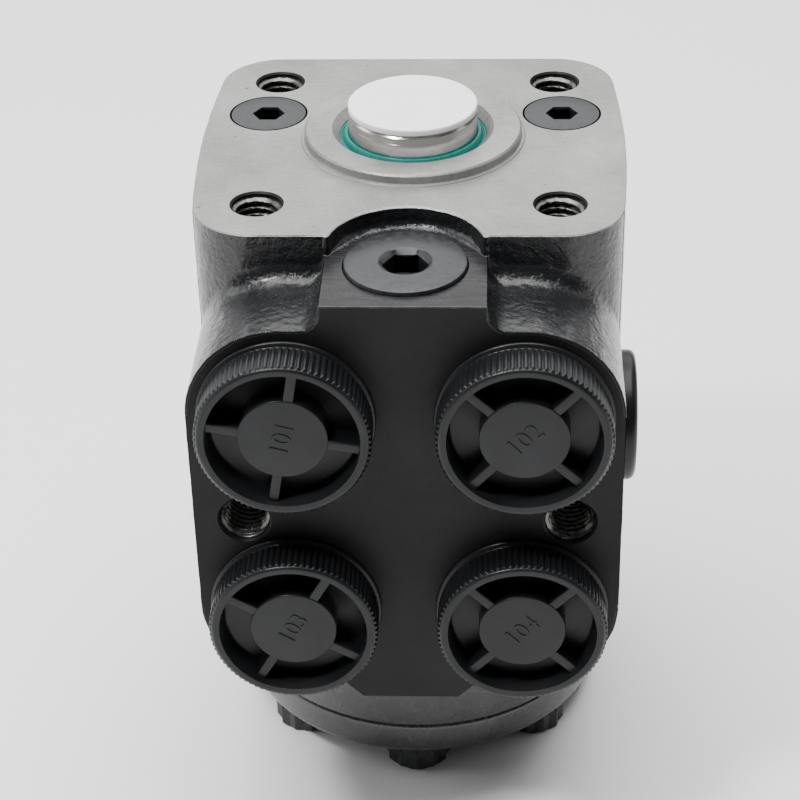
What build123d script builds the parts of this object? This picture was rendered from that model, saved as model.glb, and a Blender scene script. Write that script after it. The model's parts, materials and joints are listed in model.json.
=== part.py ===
"""Orbital steering unit: rotary spool valve over a gerotor metering set, about 95 cc a turn.

Millimetres, +Z up out of the shaft end, -Y towards the four line ports.  The origin is on the
spool axis, in the machined face that the steering column bolts to.
"""
import os
from math import atan2, cos, degrees, hypot, pi, radians, sin

from build123d import *

# ---- Housing: the cast body, its column flange and its port block ----
run_past = 1.0                  # how far a tool or a joined shape runs past the face it meets
flange_half_width = 41.2        # at the corners; the sides bulge out from there
flange_side_bulge = 2.7
flange_front_y = -43.0
flange_rear_y = 38.2
flange_corner_radius = 12.5
body_depth = 94.8               # top face down to the underside of the square body
base_radius = 42.0              # round foot that the metering stack bolts to
foot_height = 9.7               # from there down to the joint with the channel plate
port_face_y = -62.7
port_block_half_width = 42.4
port_block_top_z = -9.8
port_block_corner_radius = 19.4
port_block_reach = 34.0         # how far the port block runs back into the body
valve_block_half_width = 15.7   # raised centre block that carries the relief valve
valve_block_top_z = -4.3
plug_recess_radius = 15.8       # arc cut back into the flange about the relief plug
foot_tab_half_width = 13.5      # small tab under the port face
foot_tab_drop = 4.4
foot_tab_chamfer = 3.6
foot_tab_reach = 22.0
sense_spot_face_radius = 14.4   # machined seat about the load-sense port
sense_spot_face_sink = 0.3      # below the side of the port block

# ---- Column mounting face ----
pilot_radius = 22.6
pilot_height = 2.25
pilot_chamfer = 0.4
column_hole_pitch_x = 60.0
column_hole_pitch_y = 56.4
column_hole_centre_y = -1.9
column_hole_depth = 18.0
m10_radius = 5.0                # cut at the thread's outside diameter
m10_mouth_chamfer = 0.45        # at the column holes and at the port face holes

# ---- Port face ----
port_pitch_x = 46.0
upper_port_z = -29.2
lower_port_z = -75.4
port_thread_radius = 10.48      # G 1/2
port_thread_depth = 15.5
port_drill_radius = 5.0
face_hole_pitch_x = 64.6
face_hole_z = -53.6
face_hole_depth = 16.0
sense_port_y = -29.5
sense_port_z = -50.0
sense_thread_radius = 6.58      # G 1/4
sense_thread_depth = 10.0
sense_drill_radius = 2.0

# ---- Valve bore and what turns in it ----
bore_radius = 19.45
running_gap = 0.05              # sleeve in housing, radial
spool_gap = 0.03                # spool in sleeve, radial
sleeve_radius = bore_radius - running_gap
spool_land_radius = 14.5
shaft_radius = 13.42            # spool end that passes the seals
shaft_top_z = 6.45
shaft_chamfer = 0.8
mouth_radius = 15.3
mouth_chamfer = 1.6
seal_gland_radius = 17.2
seal_gland_top_z = -1.6
seal_gland_depth = 4.9
gallery_radius = 22.6
gallery_width = 6.0
tank_gallery_z = -25.8
left_gallery_z = -46.0
pressure_gallery_z = -59.5
right_gallery_z = -72.5
riser_y = -44.0                 # cross channel that steps a port over to its gallery
metering_channels = 7
metering_channel_radius = 2.1
metering_channel_circle = 24.4
metering_channel_depth = 14.0
spool_end_gap = 0.3             # sleeve and spool end just above the channel plate
spool_shoulder_gap = 0.3        # spool shoulder below the top of the sleeve

# ---- Seals at the shaft end ----
dust_seal_web = 0.9
dust_lip_bottom_z = -0.3
dust_lip_top_z = 0.9
dust_lip_bevel = 0.6
shaft_seal_lower_gap = 0.3
shaft_seal_upper_gap = 0.1
shaft_seal_ring_section = 0.88

# ---- Thrust bearing on top of the sleeve ----
race_thickness = 1.0
needle_diameter = 2.0
needle_length = 3.6
needle_count = 20
race_inner_radius = 14.2
race_outer_radius = 19.0
bearing_gap = 0.02
cage_thickness = 1.4
cage_edge_gap = 0.1

# ---- Inside the spool ----
spline_teeth = 12
spline_root_radius = 10.5
spline_tip_radius = 8.75
spline_inner_share = 0.32       # half a groove's width at its mouth, as a share of the pitch
spline_outer_share = 0.19       # the same at its floor
spline_depth = 19.0             # from the shaft's top face
spline_mouth_depth = 1.4
spline_mouth_widening = 0.3
spring_slot_top_z = -17.0
spring_slot_height = 6.2
spring_slot_width = 4.8
spring_length = 35.6
spring_thickness = 0.5
spring_rise = 0.75
spring_side_gap = 0.1
pin_z = -34.0
pin_radius = 4.0
pin_fit = 0.02
pin_end_gap = 0.1
pin_window_height_gap = 0.25
deflection_limit_deg = 8.0      # spool against sleeve, where the pin meets its window
cavity_radius = 11.3
cavity_top_z = -26.4
sleeve_hole_radius = 1.3
sleeve_groove_depth = 0.7
sleeve_groove_width = 4.0
sleeve_tank_holes = 6
sleeve_line_holes = 12
spool_flute_depth = 1.4
retainer_groove_depth = 1.1
retainer_gap = 0.08
retainer_overhang = 1.0         # above and below the spring slot

# ---- Metering stack under the housing ----
plate_thickness = 8.0
gear_width = 13.0
cover_thickness = 8.5
cover_edge_radius = 1.6
cover_bolt_circle = 33.5
cover_bolts_count = 7
bolt_radius = 4.0               # M8
bolt_hole_radius = 4.25
bolt_head_flats = 13.0
bolt_head_height = 5.3
bolt_head_chamfer = 0.7
washer_thickness = 1.2
washer_radius = 7.2
bolt_engagement = 14.0
bolt_thread_hole_gap = 0.05
bolt_tip_clearance = 2.0
plate_bore_radius = 12.0
plate_port_radius = 2.6
plate_port_circle = 29.0
lobes = 7                       # ring lobes; the rotor has one tooth fewer
rotor_points_per_tooth = 32
lobe_circle = 36.0
lobe_radius = 9.0
eccentricity = 3.6
gear_clearance = 0.08
gear_end_gap = 0.03
stack_seal_radius = 39.5        # centre line of the three O-rings
stack_seal_section = 0.65
stack_seal_groove_half_width = 0.9

# ---- Cardan shaft between pin and rotor ----
cardan_head_radius = 9.4
cardan_head_top_z = -28.4
cardan_head_length = 13.0
cardan_head_chamfer = 1.0
cardan_neck_length = 3.0        # cone between head and waist
cardan_waist_radius = 6.6
cardan_slot_gap = 0.15
cardan_slot_below_pin = 1.4
cardan_tooth_gap = 0.4
cardan_tooth_length = 7.2
cardan_tooth_chamfer = 0.8
spacer_radius = 8.4
spacer_thickness = 2.0

# ---- Relief valve under the centre plug ----
relief_y = -46.9
relief_head_radius = 12.0
relief_head_height = 0.9
relief_head_chamfer = 0.5
relief_head_seat_depth = 2.6
relief_head_gap = 0.25
relief_ring_thickness = 1.0
relief_socket_flats = 8.0
relief_socket_depth = 5.0
relief_socket_sink_radius = 5.5
relief_socket_sink_depth = 1.4
relief_web = 2.0                # between the socket and the hollow for the adjuster
relief_thread_radius = 9.0
relief_plug_length = 12.0       # depth of the threaded bore
relief_plug_end_gap = 1.0
ring_thread_gap = 0.1           # sealing rings over their threads
relief_chamber_radius = 6.4
relief_chamber_bottom_z = -50.0
relief_seat_radius = 6.3
relief_seat_height = 5.0
relief_seat_bore = 2.2
relief_drill_bottom_z = -61.5
relief_poppet_radius = 3.6
relief_poppet_length = 7.0      # above the seat
poppet_tip_radius = 1.3
poppet_tip_reach = 1.2          # into the seat
poppet_cone_top = 3.0           # these three above the seat
poppet_shoulder_bottom = 2.6
poppet_shoulder_top = 4.0
poppet_shoulder_width = 0.8     # past the spring's centre line
poppet_guide_radius = 3.1
adjuster_radius = 5.2
adjuster_thickness = 4.0
adjuster_gap = 0.3
adjuster_slot_half_width = 0.6
adjuster_slot_depth = 1.0
relief_spring_radius = 4.1
relief_spring_wire = 0.7
relief_spring_turns = 7

# ---- Shock valves on either side of the bore ----
shock_x = 31.2
shock_y = 10.6
shock_plug_radius = 7.9
shock_plug_counterbore = 8.35
shock_counterbore_depth = 2.4
shock_ring_thickness = 0.8
shock_plug_length = 11.0
shock_thread_radius = 7.0
shock_socket_flats = 6.0
shock_socket_depth = 4.5
shock_chamber_radius = 5.4
shock_seat_z = -40.0
shock_seat_height = 4.0
shock_seat_bore = 1.8
shock_ball_radius = 2.6
shock_spring_radius = 2.7
shock_spring_wire = 0.5
shock_spring_turns = 8
spring_seat_gap = 0.05

# ---- Suction check ball over the front cover bolt ----
check_ball_radius = 3.0
check_bore_radius = 3.4
check_bore_depth = 25.5
check_seat_radius = 2.3
check_pin_radius = 1.4
check_pin_length = 5.0

# ---- Plastic transit caps ----
cap_flange_radius = 17.5
cap_flange_thickness = 0.8
cap_rim_radius = 17.05
cap_rim_wall = 2.25
cap_height = 8.7
cap_rib_count = 84
cap_rib_height = 0.5
cap_rib_start = 1.3             # above the port face
cap_rib_end_gap = 0.4           # smooth lip above the ribs
rib_groove_share = 0.36         # shares of the pitch: groove floor, rise, crest
rib_rise_share = 0.14
rib_crest_share = 0.36
cap_floor = 2.6
cap_hub_radius = 8.7
cap_spoke_width = 2.05
cap_hub_drop = 1.2              # hub face lies below the rim
cap_spoke_drop = 1.4            # spokes lie a little below the hub face
cap_stem_gap = 0.25
cap_stem_length = 9.0
cap_stem_wall = 1.6
cap_hub_wall = 1.6
sense_cap_radius = 13.6
sense_cap_height = 4.3
sense_cap_edge_radius = 1.5
sense_cap_stem_length = 7.0
plug_disc_thickness = 1.23
plug_disc_radius = 13.4
plug_disc_edge_radius = 0.3
plug_stem_length = 12.0
plug_stem_wall = 1.2
plug_stem_gap = 0.25

upper_left_spokes_deg = 80.5
upper_right_spokes_deg = 47.0
lower_left_spokes_deg = 60.0
lower_right_spokes_deg = 46.0

# ---- Values that follow from the ones above ----
base_depth = body_depth + foot_height
sense_spot_face_x = port_block_half_width - sense_spot_face_sink
plate_top_z = -base_depth
ring_top_z = plate_top_z - plate_thickness
cover_top_z = ring_top_z - gear_width
cover_bottom_z = cover_top_z - cover_thickness
bearing_top_z = seal_gland_top_z - seal_gland_depth
sleeve_top_z = bearing_top_z - 2 * race_thickness - needle_diameter - 2 * bearing_gap
relief_floor_z = valve_block_top_z - relief_head_seat_depth
relief_hollow_top_z = valve_block_top_z + relief_head_height - relief_socket_depth - relief_web
shock_ball_z = shock_seat_z + (shock_ball_radius**2 - shock_seat_bore**2) ** 0.5
spool_shoulder_z = sleeve_top_z - spool_shoulder_gap
stack_bottom_z = plate_top_z + spool_end_gap
rotor_centre_y = eccentricity           # front lobe meshed, so the rotor sits back from it
gear_mid_z = ring_top_z - gear_width / 2
cardan_tilt_deg = degrees(atan2(rotor_centre_y, pin_z - gear_mid_z))
flat_to_corner = 2 / 3**0.5
front_angle_deg = -90.0

os.makedirs("parts", exist_ok=True)


def cyl(radius, bottom, top, x=0.0, y=0.0):
    """Upright cylinder between two heights."""
    return Pos(x, y, (bottom + top) / 2) * Cylinder(radius, top - bottom)


def tube(outer, inner, bottom, top, x=0.0, y=0.0):
    """Upright ring between two heights."""
    return cyl(outer, bottom, top, x, y) - cyl(inner, bottom - run_past, top + run_past, x, y)


def bar_y(radius, x, z, front, rear):
    """Cylinder that lies along Y."""
    return Pos(x, (front + rear) / 2, z) * Rot(90, 0, 0) * Cylinder(radius, rear - front)


def bar_x(radius, y, z, left, right):
    """Cylinder that lies along X."""
    return Pos((left + right) / 2, y, z) * Rot(0, 90, 0) * Cylinder(radius, right - left)


def block(x0, x1, y0, y1, z0, z1):
    """Box given by its limits."""
    return Pos((x0 + x1) / 2, (y0 + y1) / 2, (z0 + z1) / 2) * Box(x1 - x0, y1 - y0, z1 - z0)


def cone(bottom_radius, top_radius, bottom, top, x=0.0, y=0.0):
    """Upright cone frustum, used for chamfers and seats."""
    return Pos(x, y, (bottom + top) / 2) * Cone(bottom_radius, top_radius, top - bottom)


def hexagon(flats, bottom, top, x=0.0, y=0.0, turn=0.0):
    """Upright hexagonal bar; a corner points along X when turn is 0."""
    face = Pos(x, y, bottom) * Rot(0, 0, turn) * RegularPolygon(flats / 2 * flat_to_corner, 6)
    return extrude(face, top - bottom)


def on_circle(solid, count, start_deg=0.0):
    """Copies of a solid, evenly spaced about Z."""
    return [Rot(0, 0, start_deg + 360 * k / count) * solid for k in range(count)]


def cut(solid, tools):
    """Take every tool out of a solid."""
    for tool in tools:
        solid = solid - tool
    return solid


def save(name, shape):
    """Write one node."""
    export_step(shape, f"parts/{name}.step")


# ---- Shapes that several pieces share ----
def column_holes():
    """Centres of the four column screws."""
    half_x = column_hole_pitch_x / 2
    half_y = column_hole_pitch_y / 2
    return [(sx * half_x, column_hole_centre_y + sy * half_y) for sx in (-1, 1) for sy in (-1, 1)]


def port_places():
    """Port name, x, z, gallery height and spoke angle of each line port."""
    half = port_pitch_x / 2
    return [
        ("upper_left", -half, upper_port_z, tank_gallery_z, upper_left_spokes_deg),
        ("upper_right", half, upper_port_z, left_gallery_z, upper_right_spokes_deg),
        ("lower_left", -half, lower_port_z, right_gallery_z, lower_left_spokes_deg),
        ("lower_right", half, lower_port_z, pressure_gallery_z, lower_right_spokes_deg),
    ]


def spline_profile(tip, root, grow=0.0):
    """Twelve straight-sided teeth between two radii; grow widens the teeth."""
    pitch = 2 * pi / spline_teeth
    tooth_at_tip = pitch * spline_inner_share + grow / tip
    tooth_at_root = pitch * spline_outer_share + grow / root
    points = []
    for k in range(spline_teeth):
        middle = k * pitch
        for radius, angle in (
            (tip, middle - tooth_at_tip),
            (root, middle - tooth_at_root),
            (root, middle + tooth_at_root),
            (tip, middle + tooth_at_tip),
        ):
            points.append((radius * cos(angle), radius * sin(angle)))
    return make_face(Polyline(*points, close=True))


def coil(radius, wire, turns, bottom, top, x, y):
    """Compression spring: a round wire along a helix."""
    height = top - bottom - wire
    path = Helix(height / turns, height, radius, center=(x, y, bottom + wire / 2))
    section = Plane(origin=path @ 0, z_dir=path % 0) * Circle(wire / 2)
    return sweep(section, path)


# ---- Housing ----
def column_outline():
    """Flange outline: straight front and rear, bulged sides, round corners."""
    w = flange_half_width
    middle = (flange_front_y + flange_rear_y) / 2
    front = Line((-w, flange_front_y), (w, flange_front_y))
    right = ThreePointArc((w, flange_front_y), (w + flange_side_bulge, middle), (w, flange_rear_y))
    rear = Line((w, flange_rear_y), (-w, flange_rear_y))
    left = ThreePointArc((-w, flange_rear_y), (-w - flange_side_bulge, middle), (-w, flange_front_y))
    face = make_face([front, right, rear, left])
    return fillet(face.vertices(), flange_corner_radius)


def port_block():
    """Port block: its outline in the port face, carried back into the body."""
    face_plane = Plane(origin=(0, port_face_y, 0), x_dir=(1, 0, 0), z_dir=(0, -1, 0))
    height = port_block_top_z + body_depth
    middle = (port_block_top_z - body_depth) / 2
    outline = face_plane * Pos(0, middle) * RectangleRounded(
        2 * port_block_half_width, height, port_block_corner_radius
    )
    return extrude(outline, -port_block_reach)


def foot_tab():
    """Small tab under the port face with two chamfered corners."""
    front = Plane(origin=(0, port_face_y, 0), x_dir=(1, 0, 0), z_dir=(0, -1, 0))
    w = foot_tab_half_width
    low = -body_depth - foot_tab_drop
    high = -body_depth + foot_tab_drop
    edge = foot_tab_chamfer
    outline = make_face(
        Polyline((-w, high), (-w, low + edge), (-w + edge, low), (w - edge, low), (w, low + edge), (w, high),
                 close=True)
    )
    return extrude(front * outline, -foot_tab_reach)


def housing_casting():
    """Outside of the casting."""
    body = extrude(column_outline(), -body_depth)
    body = body + port_block()
    body = body + block(-valve_block_half_width, valve_block_half_width, port_face_y,
                        flange_front_y + run_past, port_block_top_z - run_past, valve_block_top_z)
    body = body + foot_tab()
    body = body + cyl(base_radius, -base_depth, -body_depth + run_past)
    boss = cyl(pilot_radius, -run_past, pilot_height)
    boss = chamfer(boss.edges().sort_by(Axis.Z)[-1], pilot_chamfer)
    return body + boss


def valve_bore_tools():
    """Mouth, seal gland, sleeve bore and the four annular galleries."""
    tools = [
        cyl(bore_radius, -base_depth - run_past, bearing_top_z),
        cyl(seal_gland_radius, bearing_top_z - run_past, seal_gland_top_z),
        cyl(mouth_radius, seal_gland_top_z - run_past, pilot_height + run_past),
        cone(mouth_radius, mouth_radius + mouth_chamfer, pilot_height - mouth_chamfer, pilot_height),
    ]
    for z in (tank_gallery_z, left_gallery_z, pressure_gallery_z, right_gallery_z):
        tools.append(cyl(gallery_radius, z - gallery_width / 2, z + gallery_width / 2))
    return tools


def port_tools():
    """Threaded ports, the channels behind them and the load-sense port."""
    tools = []
    riser_start = port_face_y + port_thread_depth - run_past
    for _, x, z, gallery_z, _ in port_places():
        tools.append(bar_y(port_thread_radius, x, z, port_face_y - run_past, port_face_y + port_thread_depth))
        step = abs(gallery_z - z)
        gallery_end = -(gallery_radius**2 - (abs(x) - port_drill_radius) ** 2) ** 0.5 + run_past
        if step < port_thread_radius:
            tools.append(bar_y(port_drill_radius, x, gallery_z, riser_start, gallery_end))
            continue
        low = min(z, gallery_z)
        high = max(z, gallery_z)
        tools.append(bar_y(port_drill_radius, x, z, riser_start, riser_y))
        tools.append(cyl(port_drill_radius, low, high, x, riser_y))
        tools.append(bar_y(port_drill_radius, x, gallery_z, riser_y, gallery_end))
    far = port_block_half_width + sense_spot_face_radius
    tools.append(bar_x(sense_spot_face_radius, sense_port_y, sense_port_z, sense_spot_face_x, far))
    thread_end = sense_spot_face_x - sense_thread_depth
    tools.append(bar_x(sense_thread_radius, sense_port_y, sense_port_z, thread_end, far))
    drill_start = port_pitch_x / 2
    tools.append(bar_x(sense_drill_radius, sense_port_y, sense_port_z, drill_start, thread_end + run_past))
    return tools


def tapped_hole_tools():
    """Column holes in the top face and the two holes in the port face."""
    tools = []
    for x, y in column_holes():
        tools.append(cyl(m10_radius, -column_hole_depth, run_past, x, y))
        tools.append(cone(m10_radius, m10_radius + m10_mouth_chamfer, -m10_mouth_chamfer, 0, x, y))
    for side in (-1, 1):
        x = side * face_hole_pitch_x / 2
        tools.append(bar_y(m10_radius, x, face_hole_z, port_face_y - run_past, port_face_y + face_hole_depth))
        sink = Pos(x, port_face_y + m10_mouth_chamfer / 2, face_hole_z) * Rot(90, 0, 0)
        tools.append(sink * Cone(m10_radius, m10_radius + m10_mouth_chamfer, m10_mouth_chamfer))
    return tools


def relief_tools():
    """Recess about the relief plug, its bore and the two drillings that feed and drain it."""
    y = relief_y
    head_floor = relief_floor_z
    return [
        cyl(plug_recess_radius, valve_block_top_z, run_past, 0, y),
        cyl(relief_head_radius + relief_head_gap, head_floor, run_past, 0, y),
        cyl(relief_thread_radius, head_floor - relief_plug_length, head_floor + run_past, 0, y),
        cyl(relief_chamber_radius, relief_chamber_bottom_z, head_floor, 0, y),
        cyl(relief_seat_bore, relief_drill_bottom_z, relief_chamber_bottom_z + run_past, 0, y),
        bar_x(relief_seat_bore, y, relief_drill_bottom_z + relief_seat_bore, 0, port_pitch_x / 2),
        bar_x(relief_seat_bore, y, upper_port_z, -port_pitch_x / 2, 0),
    ]


def shock_tools(side):
    """Bore of one shock valve with its drillings to the cylinder line and to tank."""
    x = side * shock_x
    line_z = left_gallery_z if side > 0 else right_gallery_z
    reach = hypot(shock_x, shock_y)
    angle = degrees(atan2(shock_y, x))
    seat_floor = shock_seat_z - shock_seat_height
    across = Pos(0, 0, line_z) * Rot(0, 0, angle) * Rot(0, 90, 0)
    drain = Pos(0, 0, tank_gallery_z) * Rot(0, 0, angle) * Rot(0, 90, 0)
    start = bore_radius + run_past
    drilled = Pos(0, 0, (reach + start) / 2) * Cylinder(shock_seat_bore, reach - start)
    return [
        cyl(shock_plug_counterbore, -shock_counterbore_depth, run_past, x, shock_y),
        cyl(shock_thread_radius, -shock_plug_length, 0, x, shock_y),
        cyl(shock_chamber_radius, seat_floor, 0, x, shock_y),
        cyl(shock_seat_bore, line_z, seat_floor + run_past, x, shock_y),
        across * drilled,
        drain * drilled,
    ]


def stack_tools():
    """Bolt holes, metering channels and check valve bore in the lower face."""
    bolt_hole = cyl(bolt_radius + bolt_thread_hole_gap, -base_depth - run_past,
                    -base_depth + bolt_engagement + bolt_tip_clearance, cover_bolt_circle, 0)
    tools = on_circle(bolt_hole, cover_bolts_count, front_angle_deg)
    channel_top = -base_depth + metering_channel_depth
    channel = cyl(metering_channel_radius, -base_depth - run_past, channel_top, metering_channel_circle, 0)
    feed = bar_x(metering_channel_radius, 0, channel_top - metering_channel_radius, bore_radius - run_past,
                 metering_channel_circle)
    between = front_angle_deg + 180 / metering_channels
    tools += on_circle(channel, metering_channels, between)
    tools += on_circle(feed, metering_channels, between)
    y = -cover_bolt_circle
    bore_top = -base_depth + check_bore_depth
    tools.append(cyl(check_bore_radius, -base_depth, bore_top, 0, y))
    cross_z = pressure_gallery_z - port_drill_radius + check_seat_radius
    tools.append(cyl(check_seat_radius, bore_top - run_past, cross_z, 0, y))
    tools.append(bar_x(check_seat_radius, y, cross_z, 0, port_pitch_x / 2))
    return tools


def housing():
    """The cast body with every bore, port and tapped hole."""
    tools = valve_bore_tools() + port_tools() + tapped_hole_tools() + relief_tools() + stack_tools()
    for side in (-1, 1):
        tools += shock_tools(side)
    return cut(housing_casting(), tools)


# ---- Seals at the shaft end ----
def dust_seal():
    """Lip that shows around the shaft, held in the mouth of the bore."""
    outer = mouth_radius - running_gap
    inner = shaft_radius + spool_gap
    body = tube(outer, inner + dust_seal_web, seal_gland_top_z, dust_lip_bottom_z)
    lip = tube(outer, inner, dust_lip_bottom_z, dust_lip_top_z)
    trim = cone(inner, inner + dust_lip_bevel, dust_lip_top_z - dust_lip_bevel, dust_lip_top_z)
    return body + lip - trim


def shaft_seal():
    """Pressure seal on the shaft, backed by an O-ring."""
    outer = seal_gland_radius - 2 * (shaft_seal_ring_section + running_gap)
    low = bearing_top_z + shaft_seal_lower_gap
    return tube(outer, shaft_radius + spool_gap, low, seal_gland_top_z - shaft_seal_upper_gap)


def shaft_seal_ring():
    """O-ring that loads the shaft seal."""
    middle = (bearing_top_z + seal_gland_top_z) / 2
    circle = seal_gland_radius - shaft_seal_ring_section - running_gap
    return Pos(0, 0, middle) * Torus(circle, shaft_seal_ring_section)


# ---- Thrust bearing ----
def bearing_race(top):
    """Flat steel washer."""
    return tube(race_outer_radius, race_inner_radius, top - race_thickness, top)


def needle_layout():
    """Middle radius and top of the needles."""
    return (race_inner_radius + race_outer_radius) / 2, bearing_top_z - race_thickness - bearing_gap


def needle_cage():
    """Cage with one pocket for each needle."""
    middle, top = needle_layout()
    spare = (needle_diameter - cage_thickness) / 2
    cage = tube(race_outer_radius - cage_edge_gap, race_inner_radius + cage_edge_gap,
                top - needle_diameter + spare, top - spare)
    half_length = needle_length / 2 + bearing_gap
    half_width = needle_diameter / 2 + bearing_gap
    pocket = block(middle - half_length, middle + half_length, -half_width, half_width,
                   top - needle_diameter - run_past, top + run_past)
    return cut(cage, on_circle(pocket, needle_count))


def bearing_needles():
    """Twenty needles, lying radially."""
    middle, top = needle_layout()
    radius = needle_diameter / 2
    needle = bar_x(radius, 0, top - radius, middle - needle_length / 2, middle + needle_length / 2)
    return Compound(children=on_circle(needle, needle_count))


# ---- Spool and sleeve ----
def valve_sleeve():
    """Outer valve sleeve with its grooves, port holes, spring slot and pin holes."""
    body = tube(sleeve_radius, spool_land_radius + spool_gap, stack_bottom_z, sleeve_top_z)
    tools = []
    half_groove = sleeve_groove_width / 2
    for z in (tank_gallery_z, left_gallery_z, pressure_gallery_z, right_gallery_z):
        count = sleeve_tank_holes if z == tank_gallery_z else sleeve_line_holes
        hole = bar_x(sleeve_hole_radius, 0, z, spool_land_radius - run_past, sleeve_radius + run_past)
        tools += on_circle(hole, count, 180 / count)
        tools.append(tube(sleeve_radius + run_past, sleeve_radius - sleeve_groove_depth,
                          z - half_groove, z + half_groove))
    feed_z = -base_depth + metering_channel_depth - metering_channel_radius
    feed_hole = bar_x(sleeve_hole_radius, 0, feed_z, spool_land_radius - run_past, sleeve_radius + run_past)
    tools += on_circle(feed_hole, 2 * (lobes - 1))
    tools.append(spring_slot(sleeve_radius + run_past))
    tools.append(bar_x(pin_radius + pin_fit, 0, pin_z, -sleeve_radius - run_past, sleeve_radius + run_past))
    tools.append(retainer_groove())
    return cut(body, tools)


def retainer_groove():
    """Shallow groove that takes the ring over the spring ends."""
    low = spring_slot_top_z - spring_slot_height - retainer_overhang
    return tube(sleeve_radius + run_past, sleeve_radius - retainer_groove_depth, low,
                spring_slot_top_z + retainer_overhang)


def spring_retainer():
    """Ring round the sleeve that keeps the neutral springs in their slot."""
    low = spring_slot_top_z - spring_slot_height - retainer_overhang + retainer_gap
    inner = sleeve_radius - retainer_groove_depth + retainer_gap / 2
    return tube(sleeve_radius - retainer_gap, inner, low, spring_slot_top_z + retainer_overhang - retainer_gap)


def spring_slot(reach):
    """Slot straight through spool and sleeve for the spring pack."""
    half = spring_slot_width / 2
    return block(-half, half, -reach, reach, spring_slot_top_z - spring_slot_height, spring_slot_top_z)


def pin_window():
    """Window in the spool wall that lets it turn a few degrees about the cross pin."""
    height = 2 * (pin_radius + pin_window_height_gap)
    swing = radians(deflection_limit_deg) * spool_land_radius
    width = height + 2 * swing
    reach = spool_land_radius + run_past
    plane = Plane(origin=(-reach, 0, pin_z), x_dir=(0, 1, 0), z_dir=(1, 0, 0))
    return extrude(plane * SlotOverall(width, height), 2 * reach)


def valve_spool():
    """Inner spool: splined shaft end, spring web, pin windows and cavity for the cardan shaft."""
    stem = cyl(shaft_radius, spool_shoulder_z - run_past, shaft_top_z)
    stem = chamfer(stem.edges().sort_by(Axis.Z)[-1], shaft_chamfer)
    body = stem + cyl(spool_land_radius, stack_bottom_z, spool_shoulder_z)
    socket_floor = shaft_top_z - spline_depth
    socket = extrude(Pos(0, 0, socket_floor) * spline_profile(spline_tip_radius, spline_root_radius),
                     spline_depth + run_past)
    tools = [
        socket + cyl(spline_tip_radius, socket_floor, shaft_top_z + run_past),
        cone(spline_tip_radius, spline_root_radius + spline_mouth_widening, shaft_top_z - spline_mouth_depth,
             shaft_top_z),
        cyl(cavity_radius, stack_bottom_z - run_past, cavity_top_z),
        spring_slot(spool_land_radius + run_past),
        pin_window(),
    ]
    for z in (left_gallery_z, right_gallery_z):
        tools += on_circle(spool_flute(z), lobes - 1, 90 / lobes)
    return cut(body, tools)


def spool_flute(z):
    """Short milled flute that joins two rows of sleeve holes when the spool turns."""
    half = abs(pressure_gallery_z - left_gallery_z) / 2
    inner = spool_land_radius - spool_flute_depth
    return block(inner, spool_land_radius + run_past, -sleeve_hole_radius, sleeve_hole_radius,
                 z - half, z + half)


def cross_pin():
    """Pin through sleeve, spool windows and cardan fork."""
    half = (sleeve_radius**2 - pin_radius**2) ** 0.5 - pin_end_gap
    return bar_x(pin_radius, 0, pin_z, -half, half)


def neutral_springs():
    """Two flat leaves between four arched ones, all set on edge in the slot."""
    half = spring_length / 2
    low = spring_slot_top_z - spring_slot_height + spring_side_gap
    height = spring_slot_height - 2 * spring_side_gap
    leaves = []
    for side in (-1, 1):
        inner = side * bearing_gap / 2
        flat = block(min(inner, inner + side * spring_thickness), max(inner, inner + side * spring_thickness),
                     -half, half, low, low + height)
        leaves.append(flat)
        for step in (0, 1):
            start = inner + side * (spring_thickness + bearing_gap + step * (spring_thickness + bearing_gap))
            leaves.append(arched_leaf(start, side, half, low, height))
    return Compound(children=leaves)


def arched_leaf(start, side, half, low, height):
    """Leaf that touches the pack in the middle and bows out at its ends."""
    near = ThreePointArc((start + side * spring_rise, -half), (start, 0), (start + side * spring_rise, half))
    shift = side * spring_thickness
    far = ThreePointArc((start + shift + side * spring_rise, half), (start + shift, 0),
                        (start + shift + side * spring_rise, -half))
    ends = [Line(near @ 1, far @ 0), Line(far @ 1, near @ 0)]
    return extrude(Pos(0, 0, low) * make_face([near, far] + ends), height)


# ---- Cardan shaft ----
def cardan_axis():
    """Location at the cross pin whose -Z runs through the centre of the rotor."""
    return Pos(0, 0, pin_z) * Rot(cardan_tilt_deg, 0, 0)


def cardan_shaft():
    """Forked head on the cross pin, waist, and a splined ball end in the rotor."""
    length = (pin_z - gear_mid_z) / cos(radians(cardan_tilt_deg))
    head_top = cardan_head_top_z - pin_z
    head_bottom = head_top - cardan_head_length
    end_bottom = -length - cardan_tooth_length / 2
    body = cyl(cardan_head_radius, head_bottom, head_top)
    body = chamfer(body.edges().sort_by(Axis.Z)[-1], cardan_head_chamfer)
    neck_bottom = head_bottom - cardan_neck_length
    body = body + cone(cardan_waist_radius, cardan_head_radius, neck_bottom, head_bottom)
    body = body + cyl(cardan_waist_radius, end_bottom + run_past, neck_bottom)
    teeth = extrude(Pos(0, 0, end_bottom) * spline_profile_outer(), cardan_tooth_length)
    barrel = cyl(spline_root_radius - cardan_tooth_gap, end_bottom, end_bottom + cardan_tooth_length)
    barrel = chamfer(barrel.edges().filter_by(GeomType.CIRCLE), cardan_tooth_chamfer)
    body = body + (teeth & barrel)
    slot_half = pin_radius + cardan_slot_gap
    slot_floor = -pin_radius - cardan_slot_below_pin
    reach = cardan_head_radius + run_past
    body = body - block(-reach, reach, -slot_half, slot_half, slot_floor, head_top + run_past)
    return cardan_axis() * body


def spline_profile_outer():
    """Teeth of the ball end: the rotor's grooves less a gap all round."""
    return spline_profile(spline_tip_radius - cardan_tooth_gap, spline_root_radius - cardan_tooth_gap,
                          -cardan_tooth_gap)


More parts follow.
